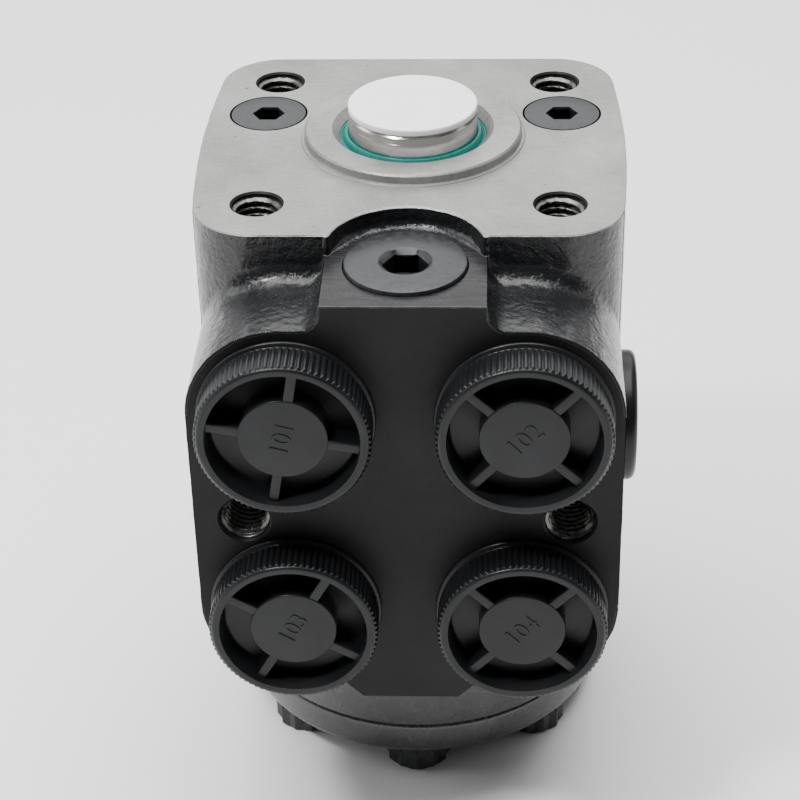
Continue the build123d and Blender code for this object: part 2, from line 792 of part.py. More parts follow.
# ---- Metering stack ----
def stack_disc(top, thickness):
    """Disc of the stack with its seven bolt holes."""
    disc = cyl(base_radius, top - thickness, top)
    hole = cyl(bolt_hole_radius, top - thickness - run_past, top + run_past, cover_bolt_circle, 0)
    return cut(disc, on_circle(hole, cover_bolts_count, front_angle_deg))


def seal_groove(top):
    """O-ring groove sunk into the upper face of a disc."""
    outer = stack_seal_radius + stack_seal_groove_half_width
    inner = stack_seal_radius - stack_seal_groove_half_width
    return tube(outer, inner, top - 2 * stack_seal_section, top + run_past)


def stack_seal(top):
    """O-ring that fills the depth of its groove."""
    return Pos(0, 0, top - stack_seal_section) * Torus(stack_seal_radius, stack_seal_section)


def channel_plate():
    """Plate that carries oil from the housing's channels to the gear pockets."""
    body = stack_disc(plate_top_z, plate_thickness)
    link_z = ring_top_z + plate_thickness / 2
    pocket = cyl(plate_port_radius, ring_top_z - run_past, link_z, plate_port_circle, 0)
    rise = cyl(metering_channel_radius, link_z - metering_channel_radius, plate_top_z + run_past,
               metering_channel_circle, 0)
    link = bar_x(metering_channel_radius, 0, link_z, metering_channel_circle, plate_port_circle)
    tools = [cyl(plate_bore_radius, ring_top_z - run_past, plate_top_z + run_past), seal_groove(plate_top_z)]
    for tool in (pocket, rise, link):
        tools += on_circle(tool, lobes, front_angle_deg + 180 / lobes)
    return cut(body, tools)


def gear_ring():
    """Ring with seven round lobes, each over a bolt."""
    body = stack_disc(ring_top_z, gear_width)
    reach = lobe_circle - lobe_radius + 2 * eccentricity + gear_clearance
    lobe = cyl(lobe_radius, cover_top_z, ring_top_z, lobe_circle, 0)
    cavity = cut(cyl(reach, cover_top_z, ring_top_z), on_circle(lobe, lobes, front_angle_deg))
    return cut(body, [cavity, seal_groove(ring_top_z)])


def rotor_profile():
    """Offset of the curve that a lobe centre traces in the rotor: R e^(it) + e e^(i7t)."""
    points = []
    count = rotor_points_per_tooth * (lobes - 1)
    offset = lobe_radius + gear_clearance
    for k in range(count):
        t = 2 * pi * k / count
        x = lobe_circle * cos(t) + eccentricity * cos(lobes * t)
        y = lobe_circle * sin(t) + eccentricity * sin(lobes * t)
        dx = -lobe_circle * sin(t) - lobes * eccentricity * sin(lobes * t)
        dy = lobe_circle * cos(t) + lobes * eccentricity * cos(lobes * t)
        speed = hypot(dx, dy)
        points.append((x - offset * dy / speed, y + offset * dx / speed))
    return make_face(Spline(*points, periodic=True))


def rotor():
    """Six-tooth rotor, splined inside, that rolls round in the ring."""
    low = cover_top_z + gear_end_gap
    height = gear_width - 2 * gear_end_gap
    body = extrude(Pos(0, 0, low) * Rot(0, 0, front_angle_deg) * rotor_profile(), height)
    under = low - run_past
    reach = height + 2 * run_past
    socket = extrude(Pos(0, 0, under) * spline_profile(spline_tip_radius, spline_root_radius), reach)
    body = cut(body, [socket + cyl(spline_tip_radius, under, under + reach)])
    return Pos(0, rotor_centre_y, 0) * body


def cardan_spacer():
    """Disc between the cardan shaft's lower end and the end cover."""
    low = cover_top_z + gear_end_gap
    return cyl(spacer_radius, low, low + spacer_thickness, 0, rotor_centre_y)


def end_cover():
    """Lower cover, rounded at its outer edge."""
    body = cyl(base_radius, cover_bottom_z, cover_top_z)
    body = fillet(body.edges().filter_by(GeomType.CIRCLE), cover_edge_radius)
    hole = cyl(bolt_hole_radius, cover_bottom_z - run_past, cover_top_z + run_past, cover_bolt_circle, 0)
    return cut(body, on_circle(hole, cover_bolts_count, front_angle_deg) + [seal_groove(cover_top_z)])


def cover_bolts():
    """Seven hexagon screws; the front one is drilled for the check pin."""
    head_top = cover_bottom_z - washer_thickness
    head_low = head_top - bolt_head_height
    head = hexagon(bolt_head_flats, head_low, head_top)
    edge = bolt_head_flats / 2 * flat_to_corner
    crown = cyl(edge, head_low, head_top)
    crown = chamfer(crown.edges().sort_by(Axis.Z)[0], bolt_head_chamfer)
    bolt = (head & crown) + cyl(bolt_radius, head_top - run_past, -base_depth + bolt_engagement)
    return Compound(children=on_circle(Pos(cover_bolt_circle, 0, 0) * bolt, cover_bolts_count, front_angle_deg))


def bolt_washers():
    """Sealing washer under each screw head."""
    ring = tube(washer_radius, bolt_hole_radius, cover_bottom_z - washer_thickness, cover_bottom_z,
                cover_bolt_circle, 0)
    return Compound(children=on_circle(ring, cover_bolts_count, front_angle_deg))


# ---- Relief valve ----
def relief_plug():
    """Flush plug with an 8 mm hexagon socket."""
    under_head = relief_floor_z + relief_ring_thickness
    top = valve_block_top_z + relief_head_height
    head = cyl(relief_head_radius, under_head, top, 0, relief_y)
    head = chamfer(head.edges().sort_by(Axis.Z)[-1], relief_head_chamfer)
    bore_end = relief_floor_z - relief_plug_length
    thread = cyl(relief_thread_radius - bolt_thread_hole_gap, bore_end + relief_plug_end_gap, under_head, 0,
                 relief_y)
    inside = cyl(adjuster_radius + adjuster_gap, bore_end, relief_hollow_top_z, 0, relief_y)
    sink = cone(relief_socket_flats / 2, relief_socket_sink_radius, top - relief_socket_sink_depth, top, 0,
                relief_y)
    socket = hexagon(relief_socket_flats, top - relief_socket_depth, top + run_past, 0, relief_y)
    return cut(head + thread, [inside, socket, sink])


def relief_plug_seal():
    """Copper ring between the plug's thread and the floor of its seat."""
    return tube(relief_head_radius - relief_head_gap, relief_thread_radius + ring_thread_gap, relief_floor_z,
                relief_floor_z + relief_ring_thickness, 0, relief_y)


def relief_adjuster():
    """Threaded disc that sets the spring, screwed into the hollow plug."""
    top = relief_hollow_top_z - bearing_gap
    body = cyl(adjuster_radius, top - adjuster_thickness, top, 0, relief_y)
    half = adjuster_slot_half_width
    slot = block(-adjuster_radius, adjuster_radius, relief_y - half, relief_y + half, top - adjuster_slot_depth,
                 top + run_past)
    return body - slot


def relief_seat():
    """Pressed-in seat with its bore."""
    return tube(relief_seat_radius, relief_seat_bore, relief_chamber_bottom_z,
                relief_chamber_bottom_z + relief_seat_height, 0, relief_y)


def relief_poppet():
    """Cone that closes the seat, with a shoulder for the spring and a short guide."""
    seat_top = relief_chamber_bottom_z + relief_seat_height
    shoulder_low = seat_top + poppet_shoulder_bottom
    tip = cone(poppet_tip_radius, relief_poppet_radius, seat_top - poppet_tip_reach,
               seat_top + poppet_cone_top, 0, relief_y)
    shoulder = cyl(relief_spring_radius + poppet_shoulder_width, shoulder_low,
                   seat_top + poppet_shoulder_top, 0, relief_y)
    guide = cyl(poppet_guide_radius, shoulder_low, seat_top + relief_poppet_length, 0, relief_y)
    return tip + shoulder + guide


def relief_spring():
    """Spring between poppet shoulder and adjuster."""
    low = relief_chamber_bottom_z + relief_seat_height + poppet_shoulder_top + spring_seat_gap
    top = relief_hollow_top_z - adjuster_thickness - spring_seat_gap
    return coil(relief_spring_radius, relief_spring_wire, relief_spring_turns, low, top, 0, relief_y)


# ---- Shock valves ----
def shock_plug(side):
    """Flush screw plug with a 6 mm hexagon socket."""
    x = side * shock_x
    under_head = shock_ring_thickness - shock_counterbore_depth
    head = cyl(shock_plug_radius, under_head, 0, x, shock_y)
    thread = cyl(shock_thread_radius - bolt_thread_hole_gap, -shock_plug_length, under_head, x, shock_y)
    socket = hexagon(shock_socket_flats, -shock_socket_depth, run_past, x, shock_y)
    return head + thread - socket


def shock_rings():
    """Sealing rings under the two plug heads."""
    rings = []
    for side in (-1, 1):
        rings.append(tube(shock_plug_radius, shock_thread_radius + ring_thread_gap, -shock_counterbore_depth,
                          shock_ring_thickness - shock_counterbore_depth, side * shock_x, shock_y))
    return Compound(children=rings)


def shock_seats():
    """Seat inserts at the bottom of both bores."""
    seats = []
    for side in (-1, 1):
        seats.append(tube(shock_chamber_radius - running_gap, shock_seat_bore,
                          shock_seat_z - shock_seat_height, shock_seat_z, side * shock_x, shock_y))
    return Compound(children=seats)


def shock_ball(side):
    """Ball on the edge of its seat."""
    return Pos(side * shock_x, shock_y, shock_ball_z) * Sphere(shock_ball_radius)


def shock_spring(side):
    """Spring between ball and plug."""
    reach = shock_ball_radius + shock_spring_wire / 2 + bearing_gap
    low = shock_ball_z + (reach**2 - shock_spring_radius**2) ** 0.5 - shock_spring_wire / 2
    top = -shock_plug_length - spring_seat_gap
    return coil(shock_spring_radius, shock_spring_wire, shock_spring_turns, low, top, side * shock_x, shock_y)


# ---- Suction check valve ----
def check_pin():
    """Rolled pin that stands on the tip of the front screw."""
    low = -base_depth + bolt_engagement
    return tube(check_pin_radius, check_pin_radius / 2, low, low + check_pin_length, 0, -cover_bolt_circle)


def check_ball():
    """Ball that rests on the pin and lifts to its seat."""
    centre = -base_depth + bolt_engagement + check_pin_length + check_ball_radius
    return Pos(0, -cover_bolt_circle, centre) * Sphere(check_ball_radius)


# ---- Transit caps ----
def rib_profile():
    """Rim outline with fine grip ribs."""
    points = []
    pitch = 2 * pi / cap_rib_count
    root = cap_rim_radius - cap_rib_height
    for k in range(cap_rib_count):
        start = k * pitch
        rise = start + rib_groove_share * pitch
        crest = rise + rib_rise_share * pitch
        fall = crest + rib_crest_share * pitch
        points += [(radius * cos(angle), radius * sin(angle)) for radius, angle in (
            (root, start),
            (root, rise),
            (cap_rim_radius, crest),
            (cap_rim_radius, fall),
        )]
    return make_face(Polyline(*points, close=True))


def port_cap(spokes_deg):
    """Screw cap along +Z: flange, ribbed rim, dished face with hub and four spokes, hollow stem."""
    stem_radius = port_thread_radius - cap_stem_gap
    body = cyl(cap_flange_radius, 0, cap_flange_thickness)
    ribs = extrude(Pos(0, 0, cap_rib_start) * rib_profile(), cap_height - cap_rib_start - cap_rib_end_gap)
    body = body + ribs + cyl(cap_rim_radius - cap_rib_height, 0, cap_height)
    body = body - cyl(cap_rim_radius - cap_rim_wall, cap_floor, cap_height + run_past)
    hub_height = cap_height - cap_hub_drop
    body = body + cyl(cap_hub_radius, 0, hub_height)
    reach = cap_rim_radius - cap_rim_wall / 2
    spoke = block(-reach, reach, -cap_spoke_width / 2, cap_spoke_width / 2, cap_flange_thickness,
                  cap_height - cap_spoke_drop)
    for turn in (0, 90):
        body = body + Rot(0, 0, spokes_deg + turn) * spoke
    body = body + cyl(stem_radius, -cap_stem_length, cap_flange_thickness)
    hollow = cyl(stem_radius - cap_stem_wall, -cap_stem_length - run_past, cap_floor - cap_hub_wall)
    return body - hollow - cyl(cap_hub_radius - cap_hub_wall, 0, hub_height - cap_hub_wall)


def sense_cap():
    """Smooth push-in cap along +Z with a hollow stem."""
    head = cyl(sense_cap_radius, 0, sense_cap_height)
    head = fillet(head.edges().sort_by(Axis.Z)[-1], sense_cap_edge_radius)
    stem = tube(sense_thread_radius - cap_stem_gap, sense_thread_radius - cap_stem_gap - plug_stem_wall,
                -sense_cap_stem_length, sense_cap_height / 2)
    return head + stem


def spline_plug():
    """White disc over the shaft end with a hollow stem in the splined socket."""
    top = shaft_top_z + plug_disc_thickness
    disc = cyl(plug_disc_radius, shaft_top_z, top)
    disc = fillet(disc.edges().sort_by(Axis.Z)[-1], plug_disc_edge_radius)
    outer = spline_tip_radius - plug_stem_gap
    stem = tube(outer, outer - plug_stem_wall, shaft_top_z - plug_stem_length,
                shaft_top_z + plug_disc_thickness / 2)
    return disc + stem


# ---- Write every node ----
save("housing", housing())
save("dust_seal", dust_seal())
save("shaft_seal", shaft_seal())
save("shaft_seal_ring", shaft_seal_ring())
save("bearing_race_upper", bearing_race(bearing_top_z))
save("bearing_race_lower", bearing_race(sleeve_top_z + race_thickness))
save("needle_cage", needle_cage())
save("bearing_needles", bearing_needles())
save("valve_sleeve", valve_sleeve())
save("spring_retainer", spring_retainer())
save("valve_spool", valve_spool())
save("cross_pin", cross_pin())
save("neutral_springs", neutral_springs())
save("cardan_shaft", cardan_shaft())
save("channel_plate", channel_plate())
save("gear_ring", gear_ring())
save("rotor", rotor())
save("cardan_spacer", cardan_spacer())
save("end_cover", end_cover())
save("cover_bolts", cover_bolts())
save("bolt_washers", bolt_washers())
save("seal_housing_plate", stack_seal(plate_top_z))
save("seal_plate_ring", stack_seal(ring_top_z))
save("seal_ring_cover", stack_seal(cover_top_z))
save("relief_plug", relief_plug())
save("relief_plug_seal", relief_plug_seal())
save("relief_adjuster", relief_adjuster())
save("relief_spring", relief_spring())
save("relief_poppet", relief_poppet())
save("relief_seat", relief_seat())
save("shock_rings", shock_rings())
save("shock_seats", shock_seats())
for side_name, side in (("left", -1), ("right", 1)):
    save(f"shock_plug_{side_name}", shock_plug(side))
    save(f"shock_spring_{side_name}", shock_spring(side))
    save(f"shock_ball_{side_name}", shock_ball(side))
save("check_pin", check_pin())
save("check_ball", check_ball())
for port_name, x, z, _, spokes_deg in port_places():
    save(f"port_cap_{port_name}", Pos(x, port_face_y, z) * Rot(90, 0, 0) * port_cap(spokes_deg))
save("sense_port_cap", Pos(sense_spot_face_x, sense_port_y, sense_port_z) * Rot(0, 90, 0) * sense_cap())
save("spline_plug", spline_plug())
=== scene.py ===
"""Looks of an orbital steering unit: cast skin, caps, plugs, threads, shaft end and metering stack.

The shapes are worked out in millimetres in the part's own frame, and turned to metres where a
mesh is made.  +Z runs up out of the shaft end, -Y points at the line ports.
"""

import json

import bpy
import numpy as np
from mathutils import Matrix, Vector


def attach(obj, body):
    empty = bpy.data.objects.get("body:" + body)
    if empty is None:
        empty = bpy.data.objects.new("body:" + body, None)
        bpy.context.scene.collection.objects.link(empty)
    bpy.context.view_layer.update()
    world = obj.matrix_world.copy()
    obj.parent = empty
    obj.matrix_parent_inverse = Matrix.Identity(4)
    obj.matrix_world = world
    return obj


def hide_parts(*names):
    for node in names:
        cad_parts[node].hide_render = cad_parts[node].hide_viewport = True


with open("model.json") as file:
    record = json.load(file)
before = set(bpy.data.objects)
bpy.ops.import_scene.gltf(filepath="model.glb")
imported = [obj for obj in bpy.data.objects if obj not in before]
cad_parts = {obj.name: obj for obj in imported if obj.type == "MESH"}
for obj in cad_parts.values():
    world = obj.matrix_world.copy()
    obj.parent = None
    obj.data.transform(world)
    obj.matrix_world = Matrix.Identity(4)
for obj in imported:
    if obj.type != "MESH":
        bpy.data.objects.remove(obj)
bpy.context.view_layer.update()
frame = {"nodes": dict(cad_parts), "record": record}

MM = 0.001
TAU = 2 * np.pi

# ---- Sizes of the unit, in millimetres, as its solids have them ----
SIDE_MIDDLE_X = 43.9            # widest point of the bulged flange side
CORNER_X = 41.2                 # where the side would meet the front or rear line
FRONT_Y = -43.0
REAR_Y = 38.2
CORNER_RADIUS = 12.5
BODY_BOTTOM_Z = -94.8
FOOT_RADIUS = 42.0
FOOT_BOTTOM_Z = -104.5
PORT_FACE_Y = -62.7
PORT_HALF_WIDTH = 42.4
PORT_TOP_Z = -9.8
PORT_CORNER = 19.4
VALVE_HALF_WIDTH = 15.7
VALVE_TOP_Z = -4.3
RECESS_RADIUS = 15.8
RELIEF_Y = -46.9
PILOT_RADIUS = 22.6
PILOT_HEIGHT = 2.25
MOUTH_RADIUS = 15.3
MOUTH_CHAMFER = 1.6
SHAFT_RADIUS = 13.42
SHAFT_TOP_Z = 6.45
GROOVE_Z = 4.54                 # middle of the thin groove round the shaft end
DISC_RADIUS = 13.4
DISC_TOP_Z = 7.68
COLUMN_HOLE_X = 30.0
COLUMN_HOLE_Y = 28.2            # each way from the pattern's middle
COLUMN_HOLE_MIDDLE_Y = -1.9
COLUMN_HOLE_DEPTH = 18.0
FACE_HOLE_X = 32.3
FACE_HOLE_Z = -53.6
FACE_HOLE_DEPTH = 16.0
M10_RADIUS = 5.0
M10_PITCH = 1.5
M10_THREAD_DEPTH = 0.92
RELIEF_HEAD_RADIUS = 12.01
RELIEF_HEAD_RISE = 0.915        # over the top of the valve block
RELIEF_FLATS = 8.0
RELIEF_SOCKET_DEPTH = 4.9
SHOCK_X = 31.2
SHOCK_Y = 10.6
SHOCK_HEAD_RADIUS = 7.91
SHOCK_HEAD_RISE = 0.015         # over the column face
SHOCK_FLATS = 6.0
SHOCK_SOCKET_DEPTH = 4.4
PORT_X = 23.0
UPPER_PORT_Z = -29.2
LOWER_PORT_Z = -75.4
PORT_RADIUS = 10.48
SENSE_X = 42.1
SENSE_Y = -29.5
SENSE_Z = -50.0
SENSE_RADIUS = 6.58
SENSE_CAP_RADIUS = 13.6
SENSE_CAP_HEIGHT = 4.3
STACK_RADIUS = 42.0
PLATE_TOP_Z = -104.5
RING_TOP_Z = -112.5
COVER_TOP_Z = -125.5
COVER_BOTTOM_Z = -134.0
BOLT_CIRCLE = 33.5
BOLT_COUNT = 7
WASHER_RADIUS = 7.22
WASHER_BORE = 4.6
WASHER_THICKNESS = 1.2
SCREW_FLATS = 13.04
SCREW_HEAD_HEIGHT = 5.3
FLOOR_Z = -140.5


# ---- Meshes from arrays ----
def mesh_piece(name, points, faces, body, material, smooth=True):
    """A piece from an array of points in millimetres and an array or list of faces."""
    mesh = bpy.data.meshes.new(name)
    metres = np.asarray(points, float).reshape(-1, 3) * MM
    mesh.from_pydata(metres.tolist(), [], [list(map(int, face)) for face in faces])
    mesh.update()
    if smooth:
        mesh.shade_smooth()
    piece = bpy.data.objects.new(name, mesh)
    bpy.context.scene.collection.objects.link(piece)
    mesh.materials.append(material)
    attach(piece, body)
    return piece


def grid_faces(rows, columns, close_columns=False, flip=False, start=0):
    """Quads between neighbouring points of a grid that is stored row by row."""
    row = np.arange(rows - 1)[:, None]
    last = columns if close_columns else columns - 1
    column = np.arange(last)[None, :]
    following = (column + 1) % columns
    a = row * columns + column
    b = row * columns + following
    c = (row + 1) * columns + following
    d = (row + 1) * columns + column
    quads = np.stack(np.broadcast_arrays(a, b, c, d), -1).reshape(-1, 4) + start
    return quads[:, ::-1] if flip else quads


def sharpen(piece, angle_deg=32.0):
    """Edges that turn by more than an angle stay crisp."""
    mesh = piece.data
    mesh.set_sharp_from_angle(angle=np.radians(angle_deg))
    return piece


def rounded_profile(corners, steps=5):
    """Polyline through (radius, height, corner radius) triples, each corner turned into an arc.

    The arc touches both runs: it starts and ends at the corner radius times the tangent of half
    the turn from the corner, and its points bulge towards the corner by a circle's formula.
    """
    corners = [np.array(c, float) for c in corners]
    points = [corners[0][:2]]
    for before, here, after in zip(corners[:-2], corners[1:-1], corners[2:]):
        radius = here[2] if len(here) > 2 else 0.0
        into = here[:2] - before[:2]
        out = after[:2] - here[:2]
        into /= np.hypot(*into)
        out /= np.hypot(*out)
        turn = np.arccos(np.clip(np.dot(into, out), -1, 1))
        if radius <= 0 or turn < 1e-3:
            points.append(here[:2])
            continue
        reach = radius * np.tan(turn / 2)
        start = here[:2] - into * reach
        side = np.sign(into[0] * out[1] - into[1] * out[0])
        normal = side * np.array([-into[1], into[0]])
        centre = start + normal * radius
        for k in range(steps + 1):
            a = side * turn * k / steps
            arm = start - centre
            points.append(centre + np.array([arm[0] * np.cos(a) - arm[1] * np.sin(a),
                                             arm[0] * np.sin(a) + arm[1] * np.cos(a)]))
    points.append(corners[-1][:2])
    return np.array(points)


def lathe_points(profile, segments, centre=(0.0, 0.0, 0.0), axis="Z"):
    """A profile of (radius, height) turned about an axis: x = r cos t, y = r sin t, height along the axis."""
    t = np.arange(segments) * TAU / segments
    radius = profile[:, 0][:, None]
    height = profile[:, 1][:, None]
    x = radius * np.cos(t)
    y = radius * np.sin(t)
    z = np.broadcast_to(height, x.shape)
    return turned(np.stack([x, y, z], -1), axis) + np.array(centre, float)


def turned(points, axis):
    """Local +Z laid along the named axis; local angles then run from +X towards +Z on the port face."""
    x, y, z = points[..., 0], points[..., 1], points[..., 2]
    if axis == "Z":
        return points
    if axis == "-Y":
        return np.stack([x, -z, y], -1)
    if axis == "+X":
        return np.stack([z, y, -x], -1)
    raise ValueError(axis)


def closed_lathe(name, corners, segments, body, material, centre=(0, 0, 0), axis="Z"):
    """Solid of revolution: the profile starts and ends on the axis, where each end is one point."""
    profile = rounded_profile(corners)
    points = lathe_points(profile[1:-1], segments, centre, axis)
    rows = len(profile) - 2
    ends = np.array([[0, 0, profile[0][1]], [0, 0, profile[-1][1]]], float)
    ends = turned(ends, axis) + np.array(centre, float)
    faces = grid_faces(rows, segments, True).tolist()
    low = rows * segments
    top = (rows - 1) * segments
    for k in range(segments):
        faces.append([low, (k + 1) % segments, k])
        faces.append([low + 1, top + k, top + (k + 1) % segments])
    return sharpen(mesh_piece(name, np.vstack([points.reshape(-1, 3), ends]), faces, body, material))


def ring_lathe(name, corners, segments, body, material, centre=(0, 0, 0), axis="Z", closed=True):
    """Ring of revolution: the profile is a loop when closed, or an open skirt."""
    profile = rounded_profile(list(corners) + list(corners[:2]) if closed else corners)
    if closed:
        profile = profile[1:-1]
    points = lathe_points(profile, segments, centre, axis)
    faces = grid_faces(len(profile) + closed, segments, True) % (len(profile) * segments)
    return sharpen(mesh_piece(name, points, faces, body, material))


# ---- Materials ----
def material(build):
    """A material whose nodes are laid by a function of the tree, the shader and the place on the piece."""
    made = bpy.data.materials.new(build.__name__)
    made.use_nodes = True
    tree = made.node_tree
    shader = tree.nodes["Principled BSDF"]
    place = tree.nodes.new("ShaderNodeTexCoord").outputs["Object"]
    build(tree, shader, place)
    return made


def noise(tree, place, per_metre, detail=2.0, roughness=0.5, stretch=None):
    """Noise value with a given number of features per metre, stretched along axes if asked."""
    mapping = tree.nodes.new("ShaderNodeMapping")
    tree.links.new(place, mapping.inputs["Vector"])
    if stretch:
        mapping.inputs["Scale"].default_value = stretch
    node = tree.nodes.new("ShaderNodeTexNoise")
    node.inputs["Scale"].default_value = per_metre
    node.inputs["Detail"].default_value = detail
    node.inputs["Roughness"].default_value = roughness
    tree.links.new(mapping.outputs["Vector"], node.inputs["Vector"])
    return node.outputs["Fac"]


def ramp(tree, value, low, high, low_at=0.3, high_at=0.7):
    """Colour between two colours as a value runs from one level to another."""
    node = tree.nodes.new("ShaderNodeValToRGB")
    node.color_ramp.elements[0].position = low_at
    node.color_ramp.elements[0].color = (*low, 1)
    node.color_ramp.elements[1].position = high_at
    node.color_ramp.elements[1].color = (*high, 1)
    tree.links.new(value, node.inputs["Fac"])
    return node.outputs["Color"]


def spread(tree, value, low, high, low_at=0.3, high_at=0.7):
    """Number between two numbers as a value runs from one level to another."""
    node = tree.nodes.new("ShaderNodeMapRange")
    node.inputs["From Min"].default_value = low_at
    node.inputs["From Max"].default_value = high_at
    node.inputs["To Min"].default_value = low
    node.inputs["To Max"].default_value = high
    tree.links.new(value, node.inputs["Value"])
    return node.outputs["Result"]


def uniform(shader, name, value):
    """One number for a whole material."""
    shader.inputs[name].default_value = value


def paint(tree, shader, value, low, high):
    """Base colour between two colours."""
    tree.links.new(ramp(tree, value, low, high), shader.inputs["Base Color"])


def texture(tree, shader, value, low, high):
    """Roughness between two numbers."""
    tree.links.new(spread(tree, value, low, high), shader.inputs["Roughness"])


def mix(tree, factor, first, second):
    """Colour mix of two sockets."""
    node = tree.nodes.new("ShaderNodeMix")
    node.data_type = "RGBA"
    tree.links.new(factor, node.inputs["Factor"])
    tree.links.new(first, node.inputs[6])
    tree.links.new(second, node.inputs[7])
    return node.outputs[2]


def arithmetic(tree, operation, first, second):
    """Math node on two sockets or numbers."""
    node = tree.nodes.new("ShaderNodeMath")
    node.operation = operation
    for socket, value in zip(node.inputs, (first, second)):
        if isinstance(value, (int, float)):
            socket.default_value = value
        else:
            tree.links.new(value, socket)
    return node.outputs[0]


def multiply(tree, first, second):
    """Product of two sockets or numbers."""
    return arithmetic(tree, "MULTIPLY", first, second)


def bump(tree, shader, height, distance, under=None):
    """Bump of a given depth in metres."""
    node = tree.nodes.new("ShaderNodeBump")
    node.inputs["Distance"].default_value = distance
    node.inputs["Strength"].default_value = 1.0
    tree.links.new(height, node.inputs["Height"])
    if under is not None:
        tree.links.new(under, node.inputs["Normal"])
    tree.links.new(node.outputs["Normal"], shader.inputs["Normal"])
    return node.outputs["Normal"]


def cast_paint(tree, shader, place):
    """Glossy black paint over rough cast iron: peel, pits and a thinner, greyer film in places."""
    broad = noise(tree, place, 90.0, 3.0)
    peel = noise(tree, place, 800.0, 3.0, 0.6)
    fine = noise(tree, place, 2300.0, 2.0, 0.6)
    paint(tree, shader, broad, (0.006, 0.0065, 0.0075), (0.013, 0.0135, 0.015))
    texture(tree, shader, peel, 0.16, 0.34)
    uniform(shader, "Specular IOR Level", 0.4)
    uniform(shader, "Coat Weight", 0.25)
    uniform(shader, "Coat Roughness", 0.1)
    first = bump(tree, shader, peel, 0.00030)
    bump(tree, shader, fine, 0.00007, first)


def ground_colour(tree, place):
    """Colour of ground iron: pale grey with soft clouds, faint grinding marks and a few dark specks."""
    cloud = noise(tree, place, 38.0, 4.0, 0.6)
    marks = noise(tree, place, 260.0, 3.0, 0.65, (1.0, 7.0, 1.0))
    grain = noise(tree, place, 1900.0, 2.0, 0.6)
    both = arithmetic(tree, "ADD", multiply(tree, cloud, 0.5), multiply(tree, marks, 0.25))
    level = arithmetic(tree, "ADD", both, multiply(tree, grain, 0.25))
    base = ramp(tree, level, (0.19, 0.19, 0.184), (0.36, 0.36, 0.352), 0.36, 0.64)
    specks = noise(tree, place, 420.0, 1.0, 0.5)
    worn = ramp(tree, specks, (0.4, 0.4, 0.39), (1.0, 1.0, 1.0), 0.2, 0.25)
    product = tree.nodes.new("ShaderNodeMix")
    product.data_type = "RGBA"
    product.blend_type = "MULTIPLY"
    product.inputs["Factor"].default_value = 1.0
    tree.links.new(base, product.inputs[6])
    tree.links.new(worn, product.inputs[7])
    return product.outputs[2]


def ground_face(tree, shader, place):
    """Bare ground iron."""
    tree.links.new(ground_colour(tree, place), shader.inputs["Base Color"])
    uniform(shader, "Metallic", 0.6)
    grain = noise(tree, place, 1600.0, 3.0, 0.7)
    texture(tree, shader, grain, 0.34, 0.52)
    bump(tree, shader, grain, 0.00002)


def housing_finish(tree, shader, place):
    """Ground metal on the column face and boss, milled paint on the valve block, flat black elsewhere."""
    split = tree.nodes.new("ShaderNodeSeparateXYZ")
    tree.links.new(place, split.inputs[0])
    height = split.outputs["Z"]
    bare = arithmetic(tree, "GREATER_THAN", height, -0.00005)
    milled = arithmetic(tree, "COMPARE", height, VALVE_TOP_Z * MM)
    milled.node.inputs[2].default_value = 0.0001
    metal = ground_colour(tree, place)
    flat = ramp(tree, noise(tree, place, 60.0, 2.0), (0.006, 0.006, 0.006), (0.01, 0.01, 0.0105))
    lay = noise(tree, place, 160.0, 3.0, 0.6, (1.0, 14.0, 1.0))
    milled_paint = ramp(tree, lay, (0.008, 0.008, 0.009), (0.03, 0.03, 0.032))
    tree.links.new(mix(tree, bare, mix(tree, milled, flat, milled_paint), metal), shader.inputs["Base Color"])
    tree.links.new(multiply(tree, bare, 0.6), shader.inputs["Metallic"])
    uniform(shader, "Specular IOR Level", 0.17)
    grain = noise(tree, place, 1600.0, 3.0, 0.7)
    rough = arithmetic(tree, "SUBTRACT", spread(tree, grain, 0.36, 0.54), multiply(tree, milled, 0.16))
    tree.links.new(rough, shader.inputs["Roughness"])
    lines = multiply(tree, lay, milled)
    bump(tree, shader, arithmetic(tree, "ADD", multiply(tree, grain, 0.5), lines), 0.00003)


def turned_steel(tree, shader, place):
    """Bright steel with fine rings left by grinding."""
    rings = noise(tree, place, 300.0, 2.0, 0.6, (0.03, 0.03, 8.0))
    paint(tree, shader, rings, (0.44, 0.43, 0.40), (0.60, 0.59, 0.56))
    uniform(shader, "Metallic", 1.0)
    texture(tree, shader, rings, 0.14, 0.24)


def plain_steel(tree, shader, place):
    """Bright steel with light handling marks."""
    marks = noise(tree, place, 500.0, 3.0, 0.6)
    paint(tree, shader, marks, (0.45, 0.45, 0.44), (0.62, 0.62, 0.61))
    uniform(shader, "Metallic", 1.0)
    texture(tree, shader, marks, 0.2, 0.38)


def thread_steel_painted_shade(tree, shader, place):
    """Tapped iron with a film of oil, much darker than bare iron: painted shade of the deep holes."""
    marks = noise(tree, place, 900.0, 3.0, 0.6)
    # painted shade: a dark steel colour that stands for the shadow down the tapped holes
    paint(tree, shader, marks, (0.05, 0.049, 0.047), (0.20, 0.195, 0.185))
    uniform(shader, "Metallic", 0.9)
    texture(tree, shader, marks, 0.2, 0.4)
    bump(tree, shader, marks, 0.00002)


def black_oxide(tree, shader, place):
    """Blackened steel plug: dark grey with a low metallic sheen."""
    marks = noise(tree, place, 700.0, 3.0, 0.65)
    paint(tree, shader, marks, (0.028, 0.029, 0.031), (0.055, 0.057, 0.06))
    uniform(shader, "Metallic", 0.55)
    texture(tree, shader, marks, 0.34, 0.5)
    bump(tree, shader, marks, 0.00001)


